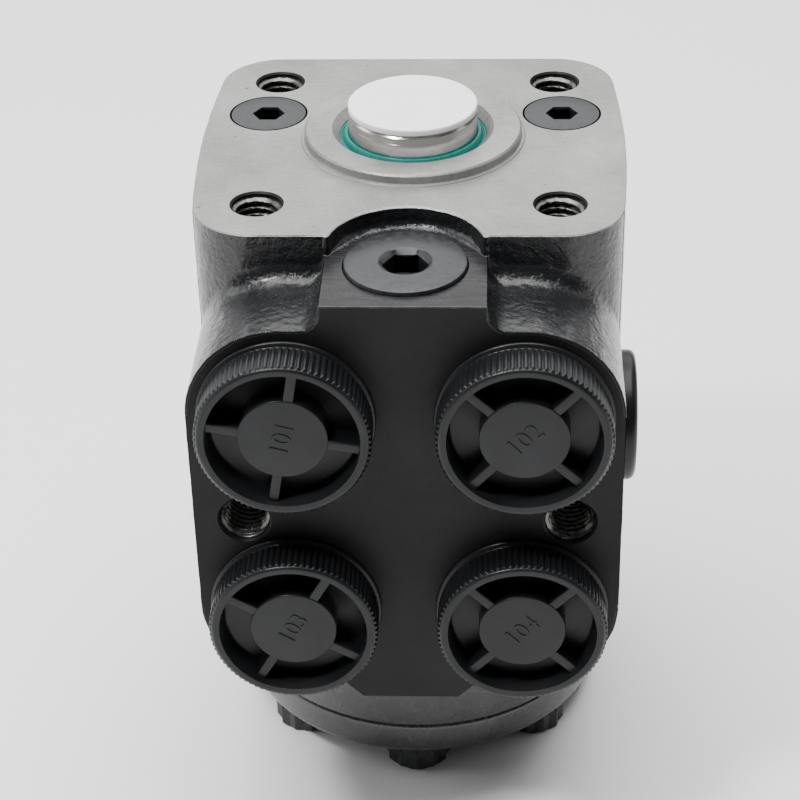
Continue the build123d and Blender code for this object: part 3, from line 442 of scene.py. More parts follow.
def satin_black(tree, shader, place):
    """Satin black paint on the turned stack."""
    rings = noise(tree, place, 500.0, 2.0, 0.5)
    paint(tree, shader, rings, (0.016, 0.016, 0.0165), (0.028, 0.028, 0.029))
    uniform(shader, "Coat Weight", 0.5)
    uniform(shader, "Coat Roughness", 0.15)
    texture(tree, shader, rings, 0.2, 0.32)
    bump(tree, shader, rings, 0.00002)


def cap_plastic(tree, shader, place):
    """Black moulded plastic with a fine texture and a soft sheen."""
    cloud = noise(tree, place, 120.0, 3.0)
    fine = noise(tree, place, 2600.0, 2.0, 0.6)
    paint(tree, shader, cloud, (0.006, 0.0064, 0.0072), (0.012, 0.0126, 0.014))
    texture(tree, shader, fine, 0.28, 0.38)
    uniform(shader, "Specular IOR Level", 0.27)
    bump(tree, shader, fine, 0.000008)


def plug_plastic(tree, shader, place):
    """White moulded plastic."""
    cloud = noise(tree, place, 150.0, 2.0)
    paint(tree, shader, cloud, (0.93, 0.93, 0.925), (0.97, 0.97, 0.965))
    texture(tree, shader, cloud, 0.4, 0.5)


def green_rubber(tree, shader, place):
    """Moulded green sealing rubber."""
    fine = noise(tree, place, 1500.0, 2.0)
    paint(tree, shader, fine, (0.0, 0.12, 0.10), (0.001, 0.19, 0.16))
    texture(tree, shader, fine, 0.35, 0.5)
    uniform(shader, "Specular IOR Level", 0.3)
    bump(tree, shader, fine, 0.00002)


def black_rubber(tree, shader, place):
    """Black sealing rubber."""
    fine = noise(tree, place, 1500.0, 2.0)
    paint(tree, shader, fine, (0.012, 0.012, 0.012), (0.022, 0.022, 0.022))
    texture(tree, shader, fine, 0.45, 0.6)


def soft_copper(tree, shader, place):
    """Annealed copper."""
    marks = noise(tree, place, 700.0, 3.0)
    paint(tree, shader, marks, (0.55, 0.26, 0.13), (0.72, 0.38, 0.22))
    uniform(shader, "Metallic", 1.0)
    texture(tree, shader, marks, 0.3, 0.45)


CAST_PAINT = material(cast_paint)
GROUND_FACE = material(ground_face)
HOUSING_FINISH = material(housing_finish)
TURNED_STEEL = material(turned_steel)
PLAIN_STEEL = material(plain_steel)
THREAD_STEEL_PAINTED_SHADE = material(thread_steel_painted_shade)
BLACK_OXIDE = material(black_oxide)
SATIN_BLACK = material(satin_black)
CAP_PLASTIC = material(cap_plastic)
PLUG_PLASTIC = material(plug_plastic)
GREEN_RUBBER = material(green_rubber)
BLACK_RUBBER = material(black_rubber)
SOFT_COPPER = material(soft_copper)

SLOT_MATERIALS = {
    "painted_iron": HOUSING_FINISH,
    "black_steel": SATIN_BLACK,
    "ground_steel": TURNED_STEEL,
    "bearing_steel": PLAIN_STEEL,
    "spring_steel": PLAIN_STEEL,
    "oxide_steel": BLACK_OXIDE,
    "copper": SOFT_COPPER,
    "seal_teal": GREEN_RUBBER,
    "seal_black": BLACK_RUBBER,
    "cap_plastic": CAP_PLASTIC,
    "plug_plastic": PLUG_PLASTIC,
}


def dress_solids():
    """Every solid of the frame gets the material of its slot."""
    slots = {entry["node"]: entry["material_slot"] for entry in frame["record"]["subparts"]}
    for name, solid in frame["nodes"].items():
        solid.data.materials.clear()
        solid.data.materials.append(SLOT_MATERIALS[slots[name]])


dress_solids()


# ---- Cast skin: the rough painted outside of the housing ----
def cell_noise(points, pitch, seed):
    """Smooth noise from 0 to 1: seeded random values at the corners of cubes, eased between.

    Each point's place in its cube, u, is eased to 3u^2 - 2u^3, and the eight corners are mixed by it.
    """
    table = np.random.default_rng(seed).random((64, 64, 64))
    place = np.asarray(points) / pitch + 1000.0
    cell = np.floor(place).astype(int)
    u = place - cell
    u = u * u * (3 - 2 * u)
    value = np.zeros(place.shape[:-1])
    for corner in np.ndindex(2, 2, 2):
        at = (cell + corner) % 64
        weight = np.prod(np.where(corner, u, 1 - u), axis=-1)
        value += weight * table[at[..., 0], at[..., 1], at[..., 2]]
    return value


def cast_relief(points):
    """How far the cast skin stands out: two sizes of bumps on a thin even film."""
    broad = cell_noise(points, 2.6, 11)
    small = cell_noise(points, 1.1, 12)
    return 0.03 + 0.10 * broad + 0.07 * small


def rounded_union(a, b, radius):
    """Distance to two bodies joined by a concave fillet: max(r, min(a, b)) less the length of (r-a, r-b)."""
    notch = np.hypot(np.maximum(radius - a, 0), np.maximum(radius - b, 0))
    return np.maximum(radius, np.minimum(a, b)) - notch


def ease(value, start, end):
    """0 before start, 1 after end, eased between."""
    u = np.clip((value - start) / (end - start), 0, 1)
    return u * u * (3 - 2 * u)


HALF_LENGTH = (REAR_Y - FRONT_Y) / 2
MIDDLE_Y = (REAR_Y + FRONT_Y) / 2
BULGE = SIDE_MIDDLE_X - CORNER_X
SIDE_RADIUS = (HALF_LENGTH**2 + BULGE**2) / (2 * BULGE)
SIDE_CENTRE_X = SIDE_MIDDLE_X - SIDE_RADIUS
CORNER_CENTRE_DY = HALF_LENGTH - CORNER_RADIUS
CORNER_CENTRE_X = SIDE_CENTRE_X + np.sqrt((SIDE_RADIUS - CORNER_RADIUS) ** 2 - CORNER_CENTRE_DY**2)


def column_distance(x, y):
    """Signed distance to the flange outline: bulged sides, straight ends and round corners."""
    ax = np.abs(x)
    ay = np.abs(y - MIDDLE_Y)
    side = np.hypot(ax - SIDE_CENTRE_X, ay) - SIDE_RADIUS
    end = ay - HALF_LENGTH
    vx = ax - CORNER_CENTRE_X
    vy = ay - CORNER_CENTRE_DY
    ux = CORNER_CENTRE_X - SIDE_CENTRE_X
    in_corner = (vx > 0) & (ux * vy - CORNER_CENTRE_DY * vx > 0)
    return np.where(in_corner, np.hypot(vx, vy) - CORNER_RADIUS, np.maximum(side, end))


BLOCK_MIDDLE_Z = (PORT_TOP_Z + BODY_BOTTOM_Z) / 2
BLOCK_HALF_HEIGHT = (PORT_TOP_Z - BODY_BOTTOM_Z) / 2


def port_block_distance(x, z):
    """Signed distance to the port block's outline, a rectangle with round corners."""
    qx = np.abs(x) - PORT_HALF_WIDTH + PORT_CORNER
    qz = np.abs(z - BLOCK_MIDDLE_Z) - BLOCK_HALF_HEIGHT + PORT_CORNER
    outside = np.hypot(np.maximum(qx, 0), np.maximum(qz, 0))
    return outside + np.minimum(np.maximum(qx, qz), 0) - PORT_CORNER


VALVE_DRAFT = 0.09              # sideways run of the valve block's cast side for each mm down
SHELF_FILLET = 4.0
VALVE_FILLET = 3.4


def casting_distance(x, y, z):
    """Signed distance to the casting: column, port block and valve block, with fillets that die out."""
    column = column_distance(x, y)
    drafted = VALVE_HALF_WIDTH + VALVE_DRAFT * (VALVE_TOP_Z - z)
    valve = np.maximum(np.abs(x) - drafted, z - VALVE_TOP_Z)
    fillet = VALVE_FILLET * ease(-z, -VALVE_TOP_Z, -VALVE_TOP_Z + 2.5) + 0.05
    front = rounded_union(port_block_distance(x, z), valve, fillet)
    ax = np.abs(x)
    along = 0.3 + 0.7 * ease(ax, VALVE_HALF_WIDTH, VALVE_HALF_WIDTH + 4)
    out = 1 - ease(ax, 33.0, PORT_HALF_WIDTH)
    down = ease(-z, -VALVE_TOP_Z - 1, -VALVE_TOP_Z + 3)
    return rounded_union(column, front, 0.05 + SHELF_FILLET * along * out * down)


def casting_normal(points):
    """Outward direction of the casting's surface, from central differences of the distance."""
    step = 0.05
    parts = []
    for axis in range(3):
        move = np.zeros(3)
        move[axis] = step
        high = casting_distance(*np.moveaxis(points + move, -1, 0))
        low = casting_distance(*np.moveaxis(points - move, -1, 0))
        parts.append(high - low)
    normal = np.stack(parts, -1)
    return normal / np.linalg.norm(normal, axis=-1, keepdims=True)


def reach_surface(origin, direction):
    """Points where rays from inside leave the casting: the last step inside, then halved 24 times."""
    steps = np.linspace(0, RAY_REACH, 281)
    trial = origin[..., None, :] + direction[..., None, :] * steps[:, None]
    inside = casting_distance(*np.moveaxis(trial, -1, 0)) < 0
    last = inside.shape[-1] - 1 - np.argmax(inside[..., ::-1], axis=-1)
    low = steps[np.minimum(last, len(steps) - 2)]
    high = low + steps[1]
    for _ in range(24):
        middle = (low + high) / 2
        here = origin + direction * middle[..., None]
        is_in = casting_distance(*np.moveaxis(here, -1, 0)) < 0
        low = np.where(is_in, middle, low)
        high = np.where(is_in, high, middle)
    return origin + direction * high[..., None]


RAY_REACH = 70.0                # longer than any ray inside the casting
EDGE = 0.22                     # the skin stops this far short of a machined face
WEB_AIM_Z = -40.0               # the web runs in from the edge towards this height on the middle line
WEB = 2.6                       # width of the web that closes the port face under the fillets
STRIP = 0.5                     # width of the strip that closes the skin against that face
PROUD = 0.012                   # how far a closing strip lies over the face


RAY_START_Y = -30.0             # the rays of a shoulder fan out from here
RAY_START_Z = -40.0
CLOSE_LINES = [0.0, 0.04, 0.09, 0.15, 0.22, 0.3, 0.38, 0.48, 0.6, 0.8, 1.1]     # past the valve block's side


def shoulder_points(side, upper):
    """Grid over one shoulder of the casting: x lines across, and rays in each line's plane.

    For each x, rays fan out from a point deep inside, from the edge of the port face to the edge of
    the column's top face, or of the underside, and each ray's point is where it leaves the casting.
    """
    arc = np.linspace(0.0 if upper else np.radians(12), np.pi / 2, 72)
    x = PORT_HALF_WIDTH - PORT_CORNER + PORT_CORNER * np.sin(arc) * 0.9998
    if upper:
        near = VALVE_HALF_WIDTH + np.array(CLOSE_LINES)
        x = np.concatenate([near, np.linspace(VALVE_HALF_WIDTH + 1.5, x[0] - 0.4, 14), x])
    x = side * x
    base_y = RAY_START_Y
    base_z = RAY_START_Z if upper else 2 * BLOCK_MIDDLE_Z - RAY_START_Z
    end_z = -EDGE if upper else BODY_BOTTOM_Z + EDGE
    lift = 1.0 if upper else -1.0
    origin = np.stack([x, np.full_like(x, base_y), np.full_like(x, base_z)], -1)
    far = np.stack([x, np.full_like(x, base_y + 10.0), np.full_like(x, end_z)], -1)
    wall = reach_surface(far, np.broadcast_to([0.0, -1.0, 0.0], far.shape))
    deep = np.stack([x, np.full_like(x, PORT_FACE_Y + EDGE), np.full_like(x, base_z)], -1)
    shelf = reach_surface(deep, np.broadcast_to([0.0, 0.0, lift], deep.shape))
    start = np.arctan2(lift * (shelf[:, 2] - base_z), shelf[:, 1] - base_y)
    end = np.arctan2(lift * (wall[:, 2] - base_z), wall[:, 1] - base_y)
    share = np.linspace(0, 1, 116)[:, None]
    angle = start + (end - start) * share
    direction = np.stack([np.zeros_like(angle), np.cos(angle), lift * np.sin(angle)], -1)
    return reach_surface(np.broadcast_to(origin, direction.shape), direction)


def roughen(points):
    """The same grid pushed out along the casting's normals by the cast relief."""
    return points + casting_normal(points) * cast_relief(points)[..., None]


def outline_inward(edge):
    """Unit vectors in plan that point from the edge of the column outline to its inside."""
    step = 0.05
    x, y = edge[:, 0], edge[:, 1]
    dx = column_distance(x + step, y) - column_distance(x - step, y)
    dy = column_distance(x, y + step) - column_distance(x, y - step)
    length = np.hypot(dx, dy)
    return np.stack([-dx / length, -dy / length, np.zeros_like(dx)], -1)


def top_strip(edge):
    """Narrow bright bevel from the edge of the skin up to the ground face."""
    inner = edge + outline_inward(edge) * STRIP
    inner[:, 2] = PROUD
    outer = edge.copy()
    middle = (outer + inner) / 2
    middle[:, 2] = PROUD - 0.02
    return np.stack([outer, middle, inner])


def add_surface(name, points, material, body="unit", flip=False, keep=None, close=False):
    """A grid of points as a smooth piece; keep drops the quads where it is False."""
    rows, columns = points.shape[:2]
    faces = grid_faces(rows, columns, close, flip)
    if keep is not None:
        faces = faces[keep.reshape(-1)]
        used, faces = np.unique(faces, return_inverse=True)
        points = points.reshape(-1, 3)[used]
        faces = faces.reshape(-1, 4)
    return mesh_piece(name, points, faces, body, material)


def add_shoulder(name, side, upper):
    """Skin of one shoulder, its bright top edge, and the bevel and web round the port face."""
    points = roughen(shoulder_points(side, upper))
    flip = (side > 0) == upper
    add_surface(name, points, CAST_PAINT, flip=not flip)
    if upper:
        add_surface(name + "_edge", top_strip(points[-1]), GROUND_FACE, flip=not flip)
    front = points[0]
    out = casting_normal(front)
    middle = front - out * 0.35 * STRIP
    middle[:, 1] = PORT_FACE_Y + 0.2 * EDGE
    inner = front - out * STRIP
    inner[:, 1] = PORT_FACE_Y - PROUD
    add_surface(name + "_front_edge", np.stack([inner, middle, front]), CAST_PAINT, flip=not flip)
    if upper:
        aim = np.array([0.0, 0.0, WEB_AIM_Z]) - front
        aim[:, 1] = 0.0
        deep = front + aim / np.linalg.norm(aim, axis=1, keepdims=True) * WEB
        deep[:, 1] = PORT_FACE_Y - PROUD
        add_surface(name + "_web", np.stack([deep, inner]), HOUSING_FINISH, flip=not flip)


def column_path():
    """Plan path of the casting from the right of the port face to the middle of the rear, with normals."""
    spacing = 0.45
    start_y = PORT_FACE_Y + EDGE
    x_line = PORT_HALF_WIDTH
    corner_angle = np.arctan2(CORNER_CENTRE_DY, CORNER_CENTRE_X - SIDE_CENTRE_X)
    cut = np.arccos((x_line - CORNER_CENTRE_X) / CORNER_RADIUS)
    join_y = MIDDLE_Y - CORNER_CENTRE_DY - CORNER_RADIUS * np.sin(cut)
    if cut < corner_angle:
        cut = corner_angle
    block_y = np.linspace(start_y, join_y, int((join_y - start_y) / spacing))[:-1]
    block = np.stack([np.full_like(block_y, x_line), block_y], -1)
    a = np.linspace(-cut, -corner_angle, max(int(CORNER_RADIUS * (cut - corner_angle) / spacing), 2))
    centre = np.array([CORNER_CENTRE_X, MIDDLE_Y - CORNER_CENTRE_DY])
    front_corner = centre + CORNER_RADIUS * np.stack([np.cos(a), np.sin(a)], -1)
    b = np.linspace(-corner_angle, corner_angle, int(2 * corner_angle * SIDE_RADIUS / spacing))
    side = np.array([SIDE_CENTRE_X, MIDDLE_Y]) + SIDE_RADIUS * np.stack([np.cos(b), np.sin(b)], -1)
    c = np.linspace(corner_angle, np.pi / 2, int(CORNER_RADIUS * 1.5 / spacing))
    rear_centre = np.array([CORNER_CENTRE_X, MIDDLE_Y + CORNER_CENTRE_DY])
    rear_corner = rear_centre + CORNER_RADIUS * np.stack([np.cos(c), np.sin(c)], -1)
    rear_x = np.linspace(CORNER_CENTRE_X, 0, int(CORNER_CENTRE_X / spacing))
    rear = np.stack([rear_x, np.full_like(rear_x, REAR_Y)], -1)
    half = np.concatenate([block, front_corner, side[1:], rear_corner[1:], rear[1:]])
    tangent = np.gradient(half, axis=0)
    normal = np.stack([tangent[:, 1], -tangent[:, 0]], -1)
    normal /= np.linalg.norm(normal, axis=1, keepdims=True)
    normal[: len(block)] = [1.0, 0.0]
    return half, normal, len(block)


def add_sides():
    """Skin down the sides and rear: the plan path carried down, open above and below the port block."""
    half, normal, block_count = column_path()
    z = np.linspace(-EDGE, BODY_BOTTOM_Z + EDGE, 212)
    z = np.sort(np.concatenate([z, [PORT_TOP_Z - PORT_CORNER, BODY_BOTTOM_Z + PORT_CORNER]]))[::-1]
    for name, side in (("right", 1.0), ("left", -1.0)):
        plan = np.concatenate([half * [side, 1.0], np.zeros((len(half), 1))], axis=1)
        out = np.concatenate([normal * [side, 1.0], np.zeros((len(half), 1))], axis=1)
        points = plan[None] + np.array([0.0, 0.0, 1.0]) * z[:, None, None]
        points = points + out[None] * cast_relief(points)[..., None]
        level = (z[:-1] + z[1:]) / 2
        in_block = (level < PORT_TOP_Z - PORT_CORNER) & (level > BODY_BOTTOM_Z + PORT_CORNER)
        column = np.arange(len(half) - 1)
        keep = (column[None, :] >= block_count - 1) | in_block[:, None]
        add_surface(f"casting_side_{name}", points, CAST_PAINT, flip=side > 0, keep=keep)
        edge = points[0, block_count:]
        add_surface(f"casting_side_{name}_edge", top_strip(edge)[::-1], GROUND_FACE, flip=side > 0)


RECESS_SKIN = 0.3               # the wall's skin stands this far inside the recess
RECESS_CORNER = 0.6
RECESS_FOOT = 1.7               # fillet at the foot of the wall


def recess_path():
    """Plan path in from the front line, along the recess arc and out again, with its normals.

    A soft corner of radius r touches both: its centre is r behind the line, and r outside the arc.
    """
    arc_radius = RECESS_RADIUS - RECESS_SKIN
    line_y = FRONT_Y - RECESS_SKIN
    centre_y = line_y + RECESS_CORNER
    reach = arc_radius + RECESS_CORNER
    centre_x = np.sqrt(reach**2 - (centre_y - RELIEF_Y) ** 2)
    half = np.arctan2(centre_x, centre_y - RELIEF_Y)
    a = np.linspace(0, half, 64)
    arc = np.stack([arc_radius * np.sin(a), RELIEF_Y + arc_radius * np.cos(a)], -1)
    b = np.linspace(np.pi / 2 - half + np.pi, 1.5 * np.pi, 10)[1:]
    corner = np.array([centre_x, centre_y]) + RECESS_CORNER * np.stack([np.cos(b), np.sin(b)], -1)
    line = np.array([[centre_x + 0.25, line_y + 0.08], [centre_x + 0.5, line_y + 0.2]])
    right = np.concatenate([arc, corner, line])
    path = np.concatenate([right[:0:-1] * [-1.0, 1.0], right])
    tangent = np.gradient(path, axis=0)
    normal = np.stack([tangent[:, 1], -tangent[:, 0]], -1)
    return path, normal / np.linalg.norm(normal, axis=1, keepdims=True)


def add_recess_wall():
    """Rough wall of the recess behind the relief plug, with a fillet at its foot and soft front corners."""
    path, normal = recess_path()
    from_end = np.minimum(np.arange(len(path)), np.arange(len(path))[::-1])
    foot = 0.25 + (RECESS_FOOT - 0.25) * ease(from_end.astype(float), 6, 30)
    floor = VALVE_TOP_Z + PROUD
    rise = np.linspace(0, 1, 12)[:, None]
    wall_z = -EDGE + (floor + foot + EDGE) * rise
    turn = np.linspace(0.1, np.pi / 2, 9)[:, None]
    foot_out = foot * (1 - np.cos(turn))
    foot_z = floor + foot * (1 - np.sin(turn))
    out = np.concatenate([np.zeros_like(wall_z), foot_out])
    z = np.concatenate([wall_z, foot_z])
    points = np.stack([path[:, 0] + normal[:, 0] * out, path[:, 1] + normal[:, 1] * out, z], -1)
    inward = np.concatenate([normal, np.zeros((len(path), 1))], axis=1)
    fade = np.ones(len(z))
    fade[-1] = 0.0
    lift = (cell_noise(points, 1.3, 21) * 0.22 + cell_noise(points, 0.6, 22) * 0.1) * fade[:, None]
    points = points + inward[None] * lift[..., None]
    add_surface("recess_wall", points, CAST_PAINT, flip=True)
    edge = points[0]
    outer = edge - inward * (STRIP + RECESS_SKIN)
    outer[:, 2] = PROUD
    middle = edge - inward * 0.4 * STRIP
    middle[:, 2] = PROUD - 0.02
    add_surface("recess_wall_edge", np.stack([outer, middle, edge]), GROUND_FACE, flip=True)


def add_valve_edge():
    """Worn front edge of the valve block's top, softened over a quarter of a millimetre."""
    x = np.linspace(-VALVE_HALF_WIDTH, VALVE_HALF_WIDTH, 120)
    wear = 0.16 + 0.22 * cell_noise(np.stack([x, 0 * x, 0 * x], -1), 1.4, 31)
    rows = [np.stack([x, 0 * x + PORT_FACE_Y - PROUD, VALVE_TOP_Z - wear], -1),
            np.stack([x, 0 * x + PORT_FACE_Y - PROUD, 0 * x + VALVE_TOP_Z + PROUD], -1),
            np.stack([x, PORT_FACE_Y + wear, 0 * x + VALVE_TOP_Z + PROUD], -1)]
    add_surface("valve_block_edge", np.stack(rows), BLACK_OXIDE)


def add_foot():
    """Round cast foot over the metering stack."""
    z = np.linspace(BODY_BOTTOM_Z, FOOT_BOTTOM_Z + 0.3, 24)[::-1]
    t = np.linspace(0, TAU, 560, endpoint=False)
    x = FOOT_RADIUS * np.cos(t) + 0 * z[:, None]
    y = FOOT_RADIUS * np.sin(t) + 0 * z[:, None]
    points = np.stack([x, y, np.broadcast_to(z[:, None], x.shape)], -1)
    out = np.stack([np.cos(t), np.sin(t), 0 * t], -1)
    points = points + out * (cast_relief(points) * 0.8)[..., None]
    lip = out * (FOOT_RADIUS - 0.3)
    lip[:, 2] = FOOT_BOTTOM_Z + 0.02
    add_surface("casting_foot", np.concatenate([lip[None], points]), CAST_PAINT, close=True)


for shoulder_name, shoulder_side in (("right", 1.0), ("left", -1.0)):
    add_shoulder(f"casting_shoulder_{shoulder_name}", shoulder_side, True)
    add_shoulder(f"casting_under_{shoulder_name}", shoulder_side, False)
add_sides()
add_recess_wall()
add_valve_edge()
add_foot()


# ---- Machined boss, shaft end, seal and plug ----
def add_shaft_end():
    """Ground boss with its bevelled mouth, the green lip, the bright shaft end and the white plug."""
    top = PILOT_HEIGHT + 0.015
    mouth = MOUTH_RADIUS - 0.02
    boss = [(PILOT_RADIUS + 0.8, 0.005), (PILOT_RADIUS + 0.62, 0.28, 0.12), (PILOT_RADIUS + 0.12, 0.3, 0.1),
            (PILOT_RADIUS + 0.015, 0.55, 0.1), (PILOT_RADIUS + 0.015, PILOT_HEIGHT - 0.35, 0.1),
            (PILOT_RADIUS - 0.35, top, 0.05), (MOUTH_RADIUS + MOUTH_CHAMFER, top, 0.06),
            (mouth, PILOT_HEIGHT - MOUTH_CHAMFER + 0.02, 0.05), (mouth, -0.5)]
    ring_lathe("pilot_boss", boss, 240, "unit", GROUND_FACE, closed=False)
    outer = MOUTH_RADIUS - 0.06
    inner = SHAFT_RADIUS + 0.03
    lip = [(inner, -0.8), (outer, -0.8), (outer, 0.5, 0.1), (MOUTH_RADIUS - 0.35, 0.5, 0.1),
           (MOUTH_RADIUS - 0.6, 0.1, 0.1), (SHAFT_RADIUS + 1.05, 0.9, 0.2),
           (SHAFT_RADIUS + 0.8, 1.5, 0.3), (inner, 1.6, 0.35)]
    seal = ring_lathe("dust_seal_lip", lip, 200, "unit", GREEN_RUBBER)
    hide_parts("dust_seal")
    surface = SHAFT_RADIUS + 0.012
    groove = SHAFT_RADIUS - 0.1
    top = SHAFT_TOP_Z + 0.012
    shaft = [(surface, -1.4), (surface, GROOVE_Z - 0.24, 0.02), (groove, GROOVE_Z - 0.12, 0.02),
             (groove, GROOVE_Z + 0.12, 0.02), (surface, GROOVE_Z + 0.24, 0.02),
             (surface, SHAFT_TOP_Z - 0.79, 0.1), (SHAFT_RADIUS - 0.78, top, 0.1), (11.0, top)]
    ring_lathe("shaft_end", shaft, 240, "spool", TURNED_STEEL, closed=False)
    rim = DISC_RADIUS + 0.01
    low, high = SHAFT_TOP_Z + 0.02, DISC_TOP_Z - 0.02
    closed_lathe("plug_disc", [(0, low), (rim, low, 0.15), (rim, high, 0.4), (0, high)],
                 200, "spline_plug", PLUG_PLASTIC)


add_shaft_end()


# ---- Socket plugs ----
def hexagon_radius(angle, flats):
    """Distance from the centre to a hexagon's side at each angle."""
    sector = np.pi / 3
    return flats / 2 / np.cos(np.mod(angle, sector) - sector / 2)


OUTLINE_STEPS = 144


def stacked_outlines(name, rows, x, y, pole_height, material):
    """Outlines one above the other, each a radius at every angle and a height, shut by a last point."""
    t = np.arange(OUTLINE_STEPS) * TAU / OUTLINE_STEPS
    points = np.stack([np.stack([x + r * np.cos(t), y + r * np.sin(t), z + 0 * t], -1) for r, z in rows])
    last = (len(rows) - 1) * OUTLINE_STEPS
    faces = grid_faces(len(rows), OUTLINE_STEPS, True).tolist()
    pole = len(rows) * OUTLINE_STEPS
    faces += [[pole, last + k, last + (k + 1) % OUTLINE_STEPS] for k in range(OUTLINE_STEPS)]
    shape = np.vstack([points.reshape(-1, 3), [[x, y, pole_height]]])
    sharpen(mesh_piece(name, shape, faces, "unit", material), 24)


def add_socket_plug(name, x, y, top, radius, edge, flats, depth, sink):
    """Round plug head with a sunk hexagon socket: circles outside, hexagons inside.

    The edge is its outer bevel, and the sink is the radius of the dish about the socket.
    """
    hexagonal = hexagon_radius(np.arange(OUTLINE_STEPS) * TAU / OUTLINE_STEPS, flats)
    circle = np.ones(OUTLINE_STEPS)
    sunk = top - (sink - flats / 2) * 0.9
    rows = [
        (radius * circle, top - 1.2),
        (radius * circle, top - edge),
        ((radius - 0.3 * edge) * circle, top - 0.3 * edge),
        ((radius - edge) * circle, top),
        ((sink + 0.25) * circle, top),
        (sink * circle, top - 0.12),
        (np.minimum(hexagonal, sink - 0.1), sunk),
        (hexagonal, sunk - 0.6),
        (hexagonal, top - depth),
    ]
    stacked_outlines(name, rows, x, y, top - depth - 1.0, BLACK_OXIDE)


add_socket_plug("relief_plug_head", 0.0, RELIEF_Y, VALVE_TOP_Z + RELIEF_HEAD_RISE,
                RELIEF_HEAD_RADIUS, 0.5, RELIEF_FLATS, RELIEF_SOCKET_DEPTH, 5.1)
for plug_name, plug_side in (("left", -1), ("right", 1)):
    add_socket_plug(f"shock_plug_head_{plug_name}", plug_side * SHOCK_X, SHOCK_Y, SHOCK_HEAD_RISE,
                    SHOCK_HEAD_RADIUS, 0.25, SHOCK_FLATS, SHOCK_SOCKET_DEPTH, 3.75)


# ---- Threads ----
def add_thread(name, centre, axis, depth):
    """Screw thread inside a tapped hole: radius steps in and out along a helix.

    Phase is height over pitch less angle over a turn; the crest takes its middle part and the flanks
    rise to it in straight lines.
    """
    turns = depth / M10_PITCH
    t = np.linspace(0, TAU, 73)
    height = np.linspace(-depth, -0.9, int(turns * 14))
    phase = np.mod(height[:, None] / M10_PITCH - t / TAU, 1.0)
    crest = np.clip((0.42 - np.abs(phase - 0.5)) / 0.3, 0, 1)
    fade = ease(-height, 0.9, 1.6)[:, None]
    radius = M10_RADIUS - 0.03 - (M10_THREAD_DEPTH - 0.1) * crest * fade
    local = np.stack([radius * np.cos(t), radius * np.sin(t), height[:, None] + 0 * t], -1)
    points = turned(local, axis) + np.array(centre, float)
    sharpen(add_surface(name, points, THREAD_STEEL_PAINTED_SHADE, flip=True), 40)


hole_signs = [(sx, sy) for sx in (-1, 1) for sy in (-1, 1)]
for hole_number, (sign_x, sign_y) in enumerate(hole_signs, 1):
    hole = (sign_x * COLUMN_HOLE_X, COLUMN_HOLE_MIDDLE_Y + sign_y * COLUMN_HOLE_Y, 0.0)
    add_thread(f"column_thread_{hole_number}", hole, "Z", COLUMN_HOLE_DEPTH - 0.5)
for side_word, hole_side in (("left", -1), ("right", 1)):
    add_thread(f"face_thread_{side_word}", (hole_side * FACE_HOLE_X, PORT_FACE_Y, FACE_HOLE_Z), "-Y",
               FACE_HOLE_DEPTH - 0.5)


# ---- Transit caps ----
CAP_FLANGE = 17.5
CAP_FLANGE_TOP = 0.8
CAP_RIM = 17.05
CAP_HEIGHT = 8.7
CAP_RIBS = 84
CAP_RIB_DEPTH = 0.5
CAP_HUB = 8.7
CAP_HUB_TOP = 7.5
CAP_SPOKE_TOP = 7.3
CAP_RIB_LOW = 1.3
CAP_RIB_HIGH = 8.3
CAP_FLOOR = 2.6
CAP_WALL = 2.25
CAP_SPOKE_WIDTH = 2.05
CAP_NUMBER_SIZE = 5.2
CAP_STEM = 9.0                  # length inside the port
SENSE_STEM = 7.0


def cap_shell_points():
    """Cap without hub and spokes, on a grid of angle by profile row.

    Each row is a radius and a height.  Between the two ends of the ribs, the radius rises to a rib's
    crest and falls to its groove with a flattened cosine of the angle, and the ends are rounded off.
    """
    per_rib = 8
    t = np.arange(CAP_RIBS * per_rib) * TAU / (CAP_RIBS * per_rib)
    wave = np.clip(0.78 + 0.95 * np.cos(t * CAP_RIBS), 0, 1)
    root = CAP_RIM - CAP_RIB_DEPTH
    low, high = CAP_RIB_LOW, CAP_RIB_HIGH
    rows = [(CAP_FLANGE - 1.5, 0.02), (CAP_FLANGE - 0.2, 0.02), (CAP_FLANGE, 0.2), (CAP_FLANGE, 0.5),
            (CAP_FLANGE - 0.2, CAP_FLANGE_TOP), (root + 0.35, 0.9), (root + 0.08, 1.05), (root, 1.25)]
    rows = [(np.full_like(t, r), z) for r, z in rows]
    rib_heights = (low, low + 0.1, low + 0.3, low + 0.7, (low + high) / 2,
                   high - 0.7, high - 0.35, high - 0.15, high)
    for z in rib_heights:
        from_end = min(z - low, high - z)
        swell = np.sqrt(np.clip(1 - (1 - min(from_end / 0.5, 1)) ** 2, 0, 1))
        rows.append((root + CAP_RIB_DEPTH * wave * swell, z))
    lip = [(root - 0.05, high + 0.1), (root - 0.2, CAP_HEIGHT - 0.13), (root - 0.5, CAP_HEIGHT),
           (root - 0.9, CAP_HEIGHT), (CAP_RIM - CAP_WALL + 0.12, CAP_HEIGHT - 0.06),
           (CAP_RIM - CAP_WALL, CAP_HEIGHT - 0.3), (CAP_RIM - CAP_WALL - 0.15, CAP_FLOOR + 0.6),
           (CAP_RIM - CAP_WALL - 0.7, CAP_FLOOR), (CAP_HUB - 0.3, CAP_FLOOR)]
    rows += [(np.full_like(t, r), z) for r, z in lip]
    return np.stack([np.stack([r * np.cos(t), r * np.sin(t), z + 0 * t], -1) for r, z in rows])


